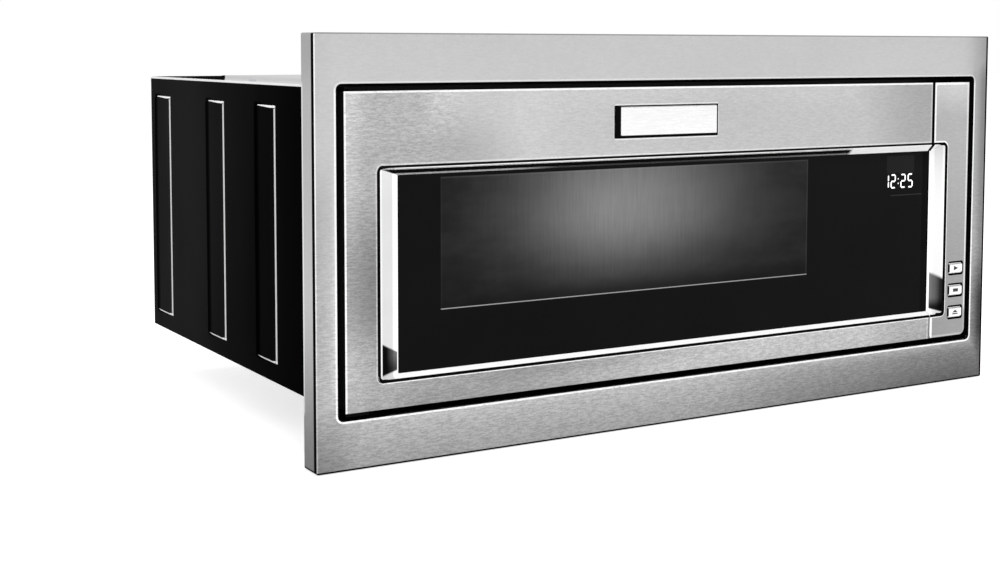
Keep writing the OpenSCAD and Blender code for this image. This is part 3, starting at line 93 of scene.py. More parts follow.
class Paint:
    """One material's node tree, with short calls that read as arithmetic."""

    def __init__(self, name, **inputs):
        self.material = bpy.data.materials.new(name)
        self.material.use_nodes = True
        self.tree = self.material.node_tree
        self.shader = self.tree.nodes["Principled BSDF"]
        coords = self.node("ShaderNodeTexCoord")
        self.point = coords.outputs["Object"]
        self.x, self.y, self.z = self.split(self.point)
        self.nx, self.ny, self.nz = self.split(coords.outputs["Normal"])
        for socket, value in inputs.items():
            self.set(socket.replace("_", " "), value)

    def node(self, kind, **settings):
        made = self.tree.nodes.new(kind)
        for key, value in settings.items():
            setattr(made, key, value)
        return made

    def put(self, socket, value):
        put(self.tree, socket, value)

    def set(self, name, value):
        """Sets or links a socket of the shader."""
        self.put(self.shader.inputs[name], value)

    def split(self, vector):
        parts = self.node("ShaderNodeSeparateXYZ")
        self.put(parts.inputs[0], vector)
        return parts.outputs

    def math(self, operation, *values):
        return arithmetic(self.tree, operation, *values)

    def add(self, a, b):
        return self.math("ADD", a, b)

    def sub(self, a, b):
        return self.math("SUBTRACT", a, b)

    def mul(self, a, b):
        return self.math("MULTIPLY", a, b)

    def size(self, value):
        """The number without its sign."""
        return self.math("ABSOLUTE", value)

    def over(self, value, limit):
        """A mask that is 1 where value is over the limit."""
        return self.math("GREATER_THAN", value, limit)

    def under(self, value, limit):
        """A mask that is 1 where value is under the limit."""
        return self.math("LESS_THAN", value, limit)

    def both(self, *masks):
        """The product of several masks."""
        result = masks[0]
        for mask in masks[1:]:
            result = self.mul(result, mask)
        return result

    def any(self, *masks):
        """The largest of several masks."""
        result = masks[0]
        for mask in masks[1:]:
            result = self.math("MAXIMUM", result, mask)
        return result

    def flip(self, mask):
        """1 where the mask is 0, and 0 where it is 1."""
        return self.sub(1.0, mask)

    def ramp(self, value, low, high, start=0.0, end=1.0):
        """Runs smoothly from start to end while value goes from low to high."""
        made = self.node("ShaderNodeMapRange", interpolation_type="SMOOTHSTEP", clamp=True)
        self.put(made.inputs["Value"], value)
        self.put(made.inputs["From Min"], low)
        self.put(made.inputs["From Max"], high)
        self.put(made.inputs["To Min"], start)
        self.put(made.inputs["To Max"], end)
        return made.outputs["Result"]

    def fall(self, value, low, high):
        """A mask that falls from 1 to 0 while value goes from low to high."""
        return self.ramp(value, low, high, 1.0, 0.0)

    def band(self, value, low, high, soft=0.3 * MM):
        """A mask that is 1 between low and high."""
        return self.mul(self.ramp(value, low - soft, low), self.fall(value, high, high + soft))

    def spread(self, noise, low, high):
        """Spreads the range in which most of a noise lies over low to high."""
        return self.ramp(noise, NOISE_LOW, NOISE_HIGH, low, high)

    def bell(self, value, centre, below, above):
        """How far value lies from centre, squared, in units of below or above."""
        past = self.sub(value, centre)
        share = self.any(self.mul(past, 1 / above), self.mul(past, -1 / below))
        return self.mul(share, share)

    def beyond(self, x0, x1, z0, z1, radius):
        """How far a point lies outside a rounded rectangle in X and Z; below 0 inside it."""
        past = []
        for value, low, high in ((self.x, x0, x1), (self.z, z0, z1)):
            off = self.size(self.sub(value, (low + high) / 2))
            past.append(self.sub(off, (high - low) / 2 - radius))
        across, up = [self.any(side, 0.0) for side in past]
        corner = self.math("SQRT", self.add(self.mul(across, across), self.mul(up, up)))
        inside = self.math("MINIMUM", self.any(*past), 0.0)
        return self.sub(self.add(corner, inside), radius)

    def noise(self, scale, stretch=(1, 1, 1), detail=3.0, roughness=0.55, seed=0.0):
        """Noise from 0 to 1, with features about 1 / scale metres wide."""
        place = self.node("ShaderNodeMapping")
        self.put(place.inputs["Vector"], self.point)
        self.put(place.inputs["Location"], (seed, seed, seed))
        self.put(place.inputs["Scale"], stretch)
        made = self.node("ShaderNodeTexNoise")
        self.put(made.inputs["Vector"], place.outputs[0])
        self.put(made.inputs["Scale"], scale)
        self.put(made.inputs["Detail"], detail)
        self.put(made.inputs["Roughness"], roughness)
        return made.outputs["Fac"]

    def crystals(self, scale):
        """A random number from 0 to 1 for each crystal, about 1 / scale metres wide."""
        finer = 1.7
        wander = 0.5 / scale
        noise = self.node("ShaderNodeTexNoise")
        self.put(noise.inputs["Vector"], self.point)
        self.put(noise.inputs["Scale"], scale * finer)
        place = self.node("ShaderNodeVectorMath", operation="MULTIPLY_ADD")
        self.put(place.inputs[0], noise.outputs["Color"])
        self.put(place.inputs[1], (wander, wander, wander))
        self.put(place.inputs[2], self.point)
        made = self.node("ShaderNodeTexVoronoi", feature="F1")
        self.put(made.inputs["Vector"], place.outputs[0])
        self.put(made.inputs["Scale"], scale)
        return self.split(made.outputs["Color"])[0]

    def blend(self, a, b, mask):
        """The number a where mask is 0 and b where it is 1."""
        return self.add(self.mul(a, self.flip(mask)), self.mul(b, mask))

    def tone(self, value, tint=(1, 1, 1)):
        """A colour from a number."""
        made = self.node("ShaderNodeCombineColor")
        for socket, share in zip(made.inputs, tint):
            self.put(socket, self.mul(value, share))
        return made.outputs[0]

    def bare_metal(self, colour, black):
        """Makes the surface metal of this colour, and plain black where the mask is 1, which
            paints shade and dark reflections.
        """
        made = self.node("ShaderNodeMix", data_type="RGBA")
        self.put(made.inputs[MIX_MASK], black)
        self.put(made.inputs[MIX_FIRST], colour)
        self.put(made.inputs[MIX_SECOND], rgba(PAINTED_DARK))
        self.set("Base Color", made.outputs[MIX_COLOUR])
        self.set("Metallic", self.flip(black))
        self.set("Specular IOR Level", 0.0)

    def bump(self, height, distance):
        made = self.node("ShaderNodeBump")
        self.put(made.inputs["Distance"], distance)
        self.put(made.inputs["Height"], height)
        self.set("Normal", made.outputs[0])


def moulded(name, colour, roughness, scale=900.0, depth=0.03 * MM, vary=0.12, **inputs):
    """A finish with fine grain: plastic, enamel, glass or rubber."""
    rougher = 0.05
    p = Paint(name, **inputs)
    grain = p.noise(scale, detail=2.0)
    cloud = p.noise(14.0, detail=2.0, seed=3.0)
    p.set("Base Color", p.tone(p.spread(cloud, 1.0 - vary, 1.0 + vary), rgb(colour)))
    p.set("Roughness", p.spread(grain, roughness - rougher, roughness + rougher))
    p.bump(grain, depth)
    return p.material


def sheet_metal(name, colour, roughness, scale=30.0, stretch=(1, 1, 1), vary=0.1):
    """Plain metal with clouds of lighter and darker tone and fine scuffs. Returns its paint and
    its colour."""
    finer = 12
    lighter = 0.04
    rougher = 0.06
    p = Paint(name, Metallic=1.0)
    cloud = p.noise(scale, stretch, detail=4.0)
    scuff = p.noise(scale * finer, stretch, detail=2.0, seed=5.0)
    scuffs = p.ramp(scuff, 0.35, 0.75, -lighter, lighter)
    colour = p.tone(p.add(p.spread(cloud, 1.0 - vary, 1.0), scuffs), rgb(colour))
    p.set("Base Color", colour)
    p.set("Roughness", p.spread(scuff, roughness - rougher, roughness + rougher))
    p.bump(scuff, 0.02 * MM)
    return p, colour


# Places on the object, from the frame

trim_lo, trim_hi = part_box("trim_frame")
skin_lo, skin_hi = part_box("door_skin")
strip_lo, strip_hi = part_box("control_strip")
bezel_lo, bezel_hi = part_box("door_bezel")
right_lo, right_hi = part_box("control_bezel")
glass_lo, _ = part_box("door_glass")
window_lo, window_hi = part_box("window_screen")
badge_lo, badge_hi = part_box("badge_plate")
case_lo, case_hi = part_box("left_side_panel")
hinge_lo, hinge_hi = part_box("hinge_brackets")
BUTTONS = ("start_button", "cancel_button", "open_button")

# The trim's opening: half its width, half its height and its corner radius
HOLE_X = 359 * MM
HOLE_Z = 137 * MM
HOLE_R = 5 * MM

# The bezel's slopes: height of the upper and the lower one, and width of the side ones
SLOPE_TOP = 6.9 * MM
SLOPE_LOW = 4.8 * MM
SLOPE_X = 20.5 * MM

# Where the skins pass under the bezel, and where its upper slope turns white as a painted highlight
UNDER_BEZEL = -108 * MM
BAND_END = 190 * MM
BAND_FADE = 5 * MM

# The window in the glass shows the screen without its edge
WINDOW_EDGE = 5 * MM
window_x0 = window_lo.x + WINDOW_EDGE
window_x1 = window_hi.x - WINDOW_EDGE
window_z0 = window_lo.z + WINDOW_EDGE
window_z1 = window_hi.z - WINDOW_EDGE

# The ribs pressed in the sides of the case: their middles, half width, and ends
RIB_Y = (112 * MM, 238 * MM, 393 * MM)
RIB_HALF = 22 * MM
rib_z0 = case_lo.z + 16.5 * MM
rib_z1 = case_hi.z - 19 * MM

# Stainless front

TRIM_TONE = 0.57
DOOR_TONE = 0.6
STRIP_GRAIN = 0.3

# The share of a normal along an axis from which a flat face, a slope or a button looks that way
FLAT_FACING = 0.7
SLOPE_FACING = 0.3
BUTTON_FACING = 0.8


def steel(name, tone, grain, edge):
    """Brushed stainless sheet: tone(p) is its painted light and shade, grain(p) the strength of its
    short flecks, and edge(p) the tone of its turned edges, also with painted light and shade."""
    p = Paint(name, Specular_IOR_Level=0.0)
    fleck = p.noise(150.0, stretch=(1, 1, 5.0), detail=3.0, roughness=0.65)
    fine = p.noise(480.0, stretch=(1, 1, 2.5), detail=2.0, seed=2.0)
    cloud = p.noise(7.0, stretch=(1, 1, 1.6), detail=2.0, seed=4.0)
    flecks = p.add(p.spread(fleck, -0.2, 0.2), p.spread(fine, -0.13, 0.13))
    speckle = p.add(p.spread(cloud, 0.98, 1.02), p.mul(flecks, grain(p)))
    front = p.under(p.ny, -FLAT_FACING)
    value = p.blend(edge(p), p.mul(tone(p), speckle), front)
    p.set("Base Color", p.tone(value))
    p.set("Metallic", p.ramp(value, 0.0, 0.08))
    p.set("Roughness", p.ramp(fleck, 0.25, 0.75, 0.3, 0.42))
    p.bump(p.add(fleck, fine), 0.012 * MM)
    return p.material


def trim_tone(p):
    """Painted shade at the ends and foot, a painted highlight round the opening, a painted dark
    outline.
    """
    # Painted shade, darker towards the ends and along the foot
    foot = p.fall(p.z, -150 * MM, -125 * MM)
    foot_shade = p.add(
        p.ramp(p.x, 0.0, 140 * MM, 0.12, 0.23),
        p.ramp(p.x, 100 * MM, 380 * MM, 0.0, 0.13),
    )
    foot_left = p.mul(
        p.fall(p.z, -150 * MM, -100 * MM),
        p.ramp(p.x, -385 * MM, -300 * MM, 0.27, 0.0),
    )
    left = p.both(
        p.fall(p.x, -365 * MM, -360 * MM),
        p.ramp(p.z, 20 * MM, 100 * MM, 0.12, 0.02),
        p.ramp(p.x, -376 * MM, -362 * MM, 1.3, 0.7),
    )
    right = p.both(
        p.ramp(p.x, 355 * MM, HOLE_X),
        p.ramp(p.x, 361 * MM, 374 * MM, 0.16, 0.33),
        p.ramp(p.z, 130 * MM, 165 * MM, 1.0, 0.4),
    )
    foot_right = p.both(
        p.ramp(p.x, HOLE_X, 363 * MM),
        p.ramp(p.z, -100 * MM, -30 * MM, 0.19, 0.0),
        p.ramp(p.z, -170 * MM, -125 * MM, 0.2, 1.0),
    )
    right_end = p.ramp(p.x, 340 * MM, 385 * MM, 0.0, 0.24)
    shade = p.any(right_end, p.mul(foot, foot_shade), foot_left, left, p.add(right, foot_right))
    lower_edge_shade = p.ramp(p.z, -178 * MM, -140 * MM, 0.08, 0.0)
    tone = p.sub(p.sub(TRIM_TONE, shade), lower_edge_shade)

    # Painted highlights round the opening and down the left edge
    hole_highlight = p.band(p.beyond(-HOLE_X, HOLE_X, -HOLE_Z, HOLE_Z, HOLE_R), 0.0, 1.5 * MM)
    tone = p.blend(tone, PAINTED_HIGHLIGHT, p.mul(hole_highlight, p.ramp(p.z, 128 * MM, 136 * MM, 1.0, 0.35)))
    left_highlight = p.band(p.x, trim_lo.x, trim_lo.x + 0.9 * MM)
    tone = p.blend(tone, PAINTED_HIGHLIGHT, p.mul(left_highlight, p.ramp(p.z, -150 * MM, 100 * MM, 0.3, 1.0)))
    # Painted dark outline at the top, the foot and the right end
    outline = p.any(
        p.mul(p.ramp(p.z, trim_hi.z - 1.4 * MM, trim_hi.z - 0.8 * MM), 0.45),
        p.fall(p.z, trim_lo.z + 1.2 * MM, trim_lo.z + 1.7 * MM),
        p.ramp(p.x, trim_hi.x - 2.6 * MM, trim_hi.x - 2.0 * MM),
    )
    return p.mul(tone, p.flip(outline))


def trim_edge(p):
    """Steel outer sides with a painted dark front edge; only the opening's lower wall is painted
    lit.
    """
    upright = p.over(p.size(p.nx), FLAT_FACING)
    rim = 5 * MM
    side = p.mul(upright, p.over(p.size(p.x), trim_hi.x - rim))
    outer = p.any(side, p.over(p.size(p.z), trim_hi.z - rim))
    # Painted shade on the outer sides, darker at the foot and the top, with a painted highlight at
    # the rear
    side_shading = p.sub(
        p.ramp(p.z, -180 * MM, -20 * MM, 0.16, 0.49),
        p.ramp(p.z, 120 * MM, 165 * MM, 0.0, 0.1),
    )
    front_edge_shade = p.mul(side, p.any(
        p.fall(p.y, trim_lo.y + 5.2 * MM, trim_lo.y + 5.8 * MM),
        p.fall(p.z, trim_lo.z + 1.8 * MM, trim_lo.z + 2.4 * MM),
    ))
    rear_highlight = p.both(
        p.band(p.y, -2.2 * MM, 0.0),
        p.band(p.z, -130 * MM, 135 * MM, soft=5 * MM),
    )
    outside = p.mul(p.add(side_shading, p.mul(rear_highlight, 0.3)), p.flip(front_edge_shade))
    # The opening's other walls keep the painted dark tone, as shade
    lit = p.both(p.over(p.nz, SLOPE_FACING), p.ramp(p.x, -320 * MM, -310 * MM, 0.0, 0.9))
    return p.any(p.mul(outer, outside), p.mul(p.flip(outer), lit), PAINTED_DARK)


def bezel_round(p):
    """How far a point lies outside the outline that the bezel shows."""
    # Raised at the top, so that the painted dark line above the bezel lies on the skin
    raised = 1.6 * MM
    return p.beyond(bezel_lo.x, right_hi.x, bezel_lo.z, bezel_hi.z + raised, radius=5 * MM)


def skin_tone(p, tone, bright, dark):
    """Adds painted highlights and painted gap shade to a skin's tone, and the painted lines round
    the bezel.
    """
    away = bezel_round(p)
    left = p.fall(p.x, -320 * MM, -316 * MM)
    upper_left = p.any(p.ramp(p.z, 66 * MM, 70 * MM, 0.0, 0.6), p.mul(left, 0.65))
    faint = p.mul(upper_left, p.fall(p.x, 300 * MM, 303 * MM))
    past = p.sub(away, p.mul(left, 0.4 * MM))
    highlight_line = p.mul(p.band(past, 0.2 * MM, 1.4 * MM), p.flip(faint))
    # Painted shade in the gap round the bezel
    gap = p.fall(past, -0.1 * MM, 0.15 * MM)
    tone = p.blend(tone, PAINTED_HIGHLIGHT, p.any(bright, highlight_line))
    return p.mul(tone, p.flip(p.any(dark, gap)))


def round_badge(p):
    """How far a point lies outside the badge."""
    return p.beyond(badge_lo.x, badge_hi.x, badge_lo.z, badge_hi.z, radius=1.5 * MM)


def round_buttons(p):
    """How far a point lies outside the nearest button."""
    near = None
    for name in BUTTONS:
        low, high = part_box(name)
        away = p.beyond(low.x, high.x, low.z, high.z, radius=1.5 * MM)
        near = away if near is None else p.math("MINIMUM", near, away)
    return near


def door_tone(p):
    """Painted shade at the upper left, the ends and the foot, and a painted highlight round the
    badge.
    """
    upper_left_shade = p.both(
        p.fall(p.x, -250 * MM, -160 * MM),
        p.ramp(p.z, 80 * MM, 125 * MM, 0.17, 0.03),
    )
    upper_left_shade = p.any(upper_left_shade, p.mul(p.band(p.x, -325 * MM, -290 * MM, soft=30 * MM), 0.14))
    upper_left_shade = p.mul(upper_left_shade, p.ramp(p.x, -350 * MM, -332 * MM, 0.25, 1.0))
    middle = p.both(
        p.band(p.x, -120 * MM, 300 * MM, soft=80 * MM),
        p.ramp(p.z, 100 * MM, 130 * MM, 0.08, 0.03),
        p.ramp(p.x, -150 * MM, 100 * MM, 0.7, 1.0),
    )
    top = p.any(upper_left_shade, middle, p.ramp(p.x, 150 * MM, 290 * MM, 0.0, 0.2))
    left_shade_band = p.both(
        p.fall(p.z, -20 * MM, 90 * MM),
        p.ramp(p.z, -100 * MM, -40 * MM, 0.42, 1.0),
    )
    left = p.mul(
        p.fall(p.x, -322 * MM, -315 * MM),
        p.add(p.mul(left_shade_band, 0.28), p.ramp(p.x, -352 * MM, -325 * MM, 0.0, 0.1)),
    )
    foot_shade = p.sub(
        p.ramp(p.x, -335 * MM, -280 * MM, 0.16, 0.26),
        p.ramp(p.x, -260 * MM, 60 * MM, 0.0, 0.25),
    )
    foot_middle = p.mul(
        p.band(p.x, -180 * MM, 40 * MM, soft=80 * MM),
        p.ramp(p.z, -125 * MM, -113 * MM, 0.02, 0.09),
    )
    foot = p.mul(p.fall(p.z, UNDER_BEZEL, -100 * MM), p.add(foot_shade, foot_middle))
    lower_edge_shade = p.ramp(p.z, -131 * MM, -115 * MM, 0.03, 0.0)
    tone = p.sub(p.sub(DOOR_TONE, p.any(top, foot, left)), lower_edge_shade)
    # Painted highlights along the left and top edges, near the right edge and round the badge
    bright = p.any(
        p.band(p.x, skin_lo.x - MM, skin_lo.x + 1.5 * MM),
        p.band(p.z, skin_hi.z - 1.5 * MM, skin_hi.z + MM),
        p.mul(p.band(p.x, skin_hi.x - 3.0 * MM, skin_hi.x - 2.1 * MM), 0.4),
        p.mul(p.band(round_badge(p), 0.0, 1.2 * MM), 0.6),
    )
    # Painted shade that widens the split to the control strip
    split = p.both(
        p.ramp(p.x, skin_hi.x - 1.8 * MM, skin_hi.x - 1.5 * MM),
        p.ramp(p.z, UNDER_BEZEL, -104 * MM, 0.3, 1.0),
    )
    return skin_tone(p, tone, bright, split)


def strip_tone(p):
    """Painted shade towards the foot, with a painted highlight round the rim and painted shade in
    the gaps round it and the buttons.
    """
    tone = p.sub(
        p.ramp(p.z, 90 * MM, 130 * MM, 0.47, 0.62),
        p.ramp(p.z, -80 * MM, 90 * MM, 0.13, 0.0),
    )
    tone = p.sub(tone, p.ramp(p.x, 310 * MM, 335 * MM, 0.02, 0.0))
    rim = p.beyond(strip_lo.x + 1.2 * MM, strip_hi.x, strip_lo.z, strip_hi.z, radius=4 * MM)
    # Painted highlight round the rim
    bright = p.both(
        p.band(rim, -2.2 * MM, MM),
        p.any(p.ramp(p.z, UNDER_BEZEL, -100 * MM, 0.25, 1.0), p.fall(p.x, 305 * MM, 306 * MM)),
        p.ramp(p.x, 340 * MM, 349 * MM, 1.0, 0.6),
    )
    # Painted shade in the split to the door, at the lower right corner and round the buttons
    split = p.mul(
        p.fall(p.x, strip_lo.x + 1.1 * MM, strip_lo.x + 1.4 * MM),
        p.ramp(p.z, UNDER_BEZEL, -104 * MM),
    )
    far = 100 * MM
    corner = p.beyond(strip_lo.x - far, strip_hi.x, strip_lo.z, strip_hi.z + far, radius=7 * MM)
    split = p.any(split, p.ramp(corner, -0.4 * MM, 0.0))
    holes = p.fall(round_buttons(p), 0.5 * MM, 0.7 * MM)
    return skin_tone(p, tone, bright, p.any(split, holes))


def trim_grain(p):
    """Coarser towards the foot."""
    return p.ramp(p.z, -130 * MM, 100 * MM, 1.0, 0.2)


def door_grain(p):
    """Coarser towards the foot and the left."""
    return p.any(
        p.ramp(p.z, -100 * MM, 80 * MM, 1.0, 0.4),
        p.ramp(p.x, -280 * MM, -200 * MM, 0.9, 0.0),
    )


def strip_grain(_):
    """The same all over."""
    return STRIP_GRAIN


def skin_edge_shade(p):
    """Turned edges painted dark, as shade in the gaps."""
    return p.ramp(p.z, skin_lo.z, skin_hi.z, 0.1, 0.12)


trim_steel = steel("trim_steel", trim_tone, trim_grain, trim_edge)
door_steel = steel("door_steel", door_tone, door_grain, skin_edge_shade)
strip_steel = steel("strip_steel", strip_tone, strip_grain, skin_edge_shade)

# Polished bezel

WEDGE_LIGHT = 0.15


def over_lines(p, x, top, top_drop, foot, foot_drop):
    """How far a point lies above each of two lines. They start at x, at the heights top and
    foot, and drop by a share of the way to the right."""
    along = p.sub(p.x, x)
    over_top = p.sub(p.z, p.sub(top, p.mul(along, top_drop)))
    over_foot = p.sub(p.z, p.sub(foot, p.mul(along, foot_drop)))
    return over_top, over_foot


def upper_reflection(p):
    """The painted dark reflection that runs along the upper slope from its left mitre."""
    mitre = p.sub(bezel_hi.z, p.mul(p.sub(p.x, bezel_lo.x), SLOPE_TOP / SLOPE_X))
    core_low = bezel_hi.z - 5.2 * MM
    core_high = bezel_hi.z - 2.2 * MM
    below_core = p.both(
        p.fall(p.z, core_low, core_low + 0.1 * MM),
        p.sub(
            p.ramp(p.x, -200 * MM, -140 * MM, 0.35, 0.95),
            p.ramp(p.x, 0.0, BAND_END, 0.0, 0.2),
        ),
    )
    return p.both(
        p.any(p.band(p.z, core_low, core_high), below_core),
        p.ramp(p.sub(p.z, mitre), -0.3 * MM, 0.3 * MM),
        p.fall(p.x, BAND_END, BAND_END + BAND_FADE),
        p.over(p.z, bezel_hi.z - SLOPE_TOP - 2 * MM),
    )


def left_reflection(p):
    """The painted dark reflection, a wedge at the foot of the left slope."""
    x0 = -318.2 * MM
    over_top, over_foot = over_lines(
        p, x0, top=-77.2 * MM, top_drop=0.52, foot=-103.6 * MM, foot_drop=-0.2
    )
    wedge = p.both(
        p.fall(over_top, -MM, MM),
        p.ramp(over_foot, -MM, MM),
        p.band(p.x, x0, -303 * MM, soft=0.5 * MM),
    )
    light = p.both(
        p.ramp(p.x, -316 * MM, -304 * MM),
        p.ramp(p.z, -100 * MM, -85 * MM, 0.3, 1.0),
    )
    return p.mul(wedge, p.flip(p.mul(light, WEDGE_LIGHT)))


def right_reflection(p):
    """The painted dark reflection, a wedge at the foot of the right slope."""
    x0 = 306.3 * MM
    over_top, over_foot = over_lines(
        p, x0, top=-63.1 * MM, top_drop=0.44, foot=-101.0 * MM, foot_drop=0.3
    )
    wedge = p.both(
        p.fall(over_top, -3 * MM, 1.5 * MM),
        p.ramp(over_foot, -MM, MM),
        p.ramp(p.x, 304.6 * MM, 305.2 * MM),
    )
    light = p.both(
        p.ramp(p.x, 309 * MM, 319 * MM, 1.0, 0.1),
        p.ramp(p.z, -100 * MM, -88 * MM, 0.1, 1.0),
    )
    return p.mul(wedge, p.flip(p.mul(light, WEDGE_LIGHT)))


def bezel_outline(p):
    """The painted dark line round the bezel, shade in its gap, wider at its sides and its top."""
    shift = p.sub(
        p.ramp(p.x, -316 * MM, -312 * MM, -0.4 * MM, 0.0),
        p.ramp(p.x, 310 * MM, 314 * MM, 0.0, MM),
    )
    top = p.ramp(p.z, bezel_hi.z - 2 * MM, bezel_hi.z - 1.5 * MM, 0.0, 0.3 * MM)
    return p.ramp(p.sub(bezel_round(p), p.sub(shift, top)), -1.9 * MM, -1.6 * MM)


def white_highlight(p, front):
    """The lower slope and the upper one's right end, which mirror nothing: a painted white
    highlight.
    """
    glass_top = bezel_hi.z - SLOPE_TOP
    mitre = p.add(glass_top, p.mul(p.sub(p.x, right_lo.x), SLOPE_TOP / SLOPE_X))
    upper_right = p.both(
        front,
        p.ramp(p.x, BAND_END, BAND_END + BAND_FADE),
        p.ramp(p.sub(p.z, p.any(mitre, glass_top)), -0.5 * MM, 0.5 * MM),
    )
    glass_foot = bezel_lo.z + SLOPE_LOW
    return p.any(p.fall(p.z, glass_foot, glass_foot + MM), upper_right)


def chrome():
    """Bright plating whose slopes carry painted dark and grey reflections and a painted dark
    outline.
    """
    p = Paint("bezel_chrome", Specular_IOR_Level=0.0)
    front = p.under(p.ny, -SLOPE_FACING)
    rub = p.noise(40.0, detail=3.0)
    # Painted grey reflections near the left and right ends of the bezel
    grey_reflection = p.any(
        p.mul(p.band(p.x, bezel_lo.x + 4.5 * MM, bezel_lo.x + 14 * MM, soft=2.5 * MM), 0.34),
        p.mul(p.band(p.x, right_hi.x - 13 * MM, right_hi.x - 6 * MM, soft=2.5 * MM), 0.2),
    )
    light = p.mul(p.spread(rub, 0.96, 1.0), p.flip(grey_reflection))
    # Painted shade in the split between the two bezels
    split = p.both(
        p.band(p.x, skin_hi.x - 1.5 * MM, strip_lo.x + 1.5 * MM),
        p.ramp(p.z, right_hi.z - 7.5 * MM, right_hi.z - 6.5 * MM),
    )
    dark = p.any(
        upper_reflection(p), left_reflection(p), right_reflection(p), split, bezel_outline(p)
    )
    tone = p.any(p.mul(light, p.flip(p.mul(dark, front))), PAINTED_DARK)
    p.set("Base Color", p.tone(tone))
    p.set("Metallic", p.mul(p.flip(white_highlight(p, front)), p.ramp(tone, 0.0, 0.05)))
    p.set("Roughness", p.spread(rub, 0.06, 0.12))
    return p.material


bezel_chrome = chrome()

# Door glass

SCREEN_PITCH = 1.9 * MM
SCREEN_DEPTH = 0.12
WINDOW_EDGE_HIGHLIGHT = 0.05
DISPLAY_TONE = 0.007
RULE_TONE = 0.022

# The right end of the printed black, then the display and the thin rule below it, in X and Z
PRINT_END = 293 * MM
DISPLAY_X = (245 * MM, 282 * MM)
DISPLAY_Z = (41 * MM, 57.5 * MM)
RULE_X = (251 * MM, PRINT_END)
RULE_Z = (17.6 * MM, 18.3 * MM)


def printed_glass():
    """Black printed glass with a window whose painted glow fades to its edges, over a perforated
    screen.
    """
    p = Paint("printed_glass", Roughness=0.08, Specular_IOR_Level=0.04)
    # A painted glow of light in the window, fading out from a point left of its middle
    away = p.add(
        p.bell(p.x, centre=-80 * MM, below=90 * MM, above=112 * MM),
        p.bell(p.z, centre=22 * MM, below=46 * MM, above=70 * MM),
    )
    glow_noise = p.noise(28.0, stretch=(1, 1, 2.2), detail=3.0, seed=7.0)
    streak = p.noise(420.0, stretch=(1, 1, 0.06), detail=2.0, seed=9.0)
    glow = p.mul(p.math("EXPONENT", p.mul(away, -1.0)), p.spread(streak, 0.185, 0.21))
    glow = p.add(p.spread(glow_noise, 0.005, 0.012), glow)
    turns = 2 * math.pi / SCREEN_PITCH
    holes = p.mul(
        p.math("SINE", p.mul(p.x, turns)),
        p.math("SINE", p.mul(p.z, turns)),
    )
    glow = p.both(
        glow,
        p.add(1.0, p.mul(holes, SCREEN_DEPTH)),
        p.ramp(p.z, -56 * MM, -34 * MM, 0.35, 1.0),
    )
    window = p.both(
        p.band(p.x, window_x0, window_x1, soft=0.4 * MM),
        p.band(p.z, window_z0, window_z1, soft=0.4 * MM),
    )
    # Painted highlight lines along the window's edges
    edge = p.both(
        window,
        p.any(
            p.mul(p.band(p.x, window_x1 - MM, window_x1), 0.3),
            p.mul(p.band(p.x, window_x0, window_x0 + 0.7 * MM), 0.12),
            p.mul(p.band(p.z, window_z1 - MM, window_z1), 0.35),
            p.mul(p.band(p.z, window_z0, window_z0 + 0.7 * MM, soft=0.2 * MM), 6.0),
        ),
    )
    display = p.both(
        p.band(p.x, *DISPLAY_X, soft=0.6 * MM),
        p.band(p.z, *DISPLAY_Z, soft=0.6 * MM),
    )
    rule = p.both(p.band(p.x, *RULE_X), p.band(p.z, *RULE_Z))
    print_black = p.both(
        p.spread(p.noise(9.0, detail=2.0), 0.0028, 0.0036),
        p.band(p.x, glass_lo.x + 2.5 * MM, PRINT_END, soft=1.5 * MM),
    )
    value = p.add(p.add(print_black, p.mul(window, glow)), p.mul(edge, WINDOW_EDGE_HIGHLIGHT))
    value = p.add(value, p.add(p.mul(display, DISPLAY_TONE), p.mul(rule, RULE_TONE)))
    p.set("Base Color", p.tone(value))
    return p.material


door_glass = printed_glass()

# Case

SPANGLE = 110.0
# Where the cover's painted dark reflection starts, and how fast it widens to the rear
REFLECTION_START = 204 * MM
REFLECTION_SLOPE = 0.375
RIB_SHADOW = 0.85


def rib_line(p, y):
    """The painted line of light along the front and the ends of the rib whose middle is at y."""
    front = p.both(
        p.band(p.y, y - RIB_HALF - 0.8 * MM, y - RIB_HALF + 0.6 * MM),
        p.band(p.z, rib_z0 + 3 * MM, rib_z1 - 3 * MM, soft=MM),
    )
    widening = p.ramp(p.y, y - RIB_HALF, y + RIB_HALF, 0.0, 1.2 * MM)
    ends = p.both(
        p.any(
            p.band(p.sub(p.z, widening), rib_z1 - 2.3 * MM, rib_z1 - 0.8 * MM),
            p.band(p.z, rib_z0 + 0.6 * MM, rib_z0 + 2.8 * MM),
        ),
        p.band(p.y, y - RIB_HALF, y + RIB_HALF - 8 * MM, soft=2 * MM),
        p.under(p.z, rib_z1 - 0.6 * MM),
    )
    return p.any(p.mul(front, 0.7), ends)


def rib_shadow(p, y):
    """The darker rear slope of the rib whose middle is at y, as painted shade."""
    return p.both(
        p.band(p.y, y + RIB_HALF - 8 * MM, y + RIB_HALF, soft=8 * MM),
        p.band(p.z, rib_z0, rib_z1, soft=3 * MM),
    )


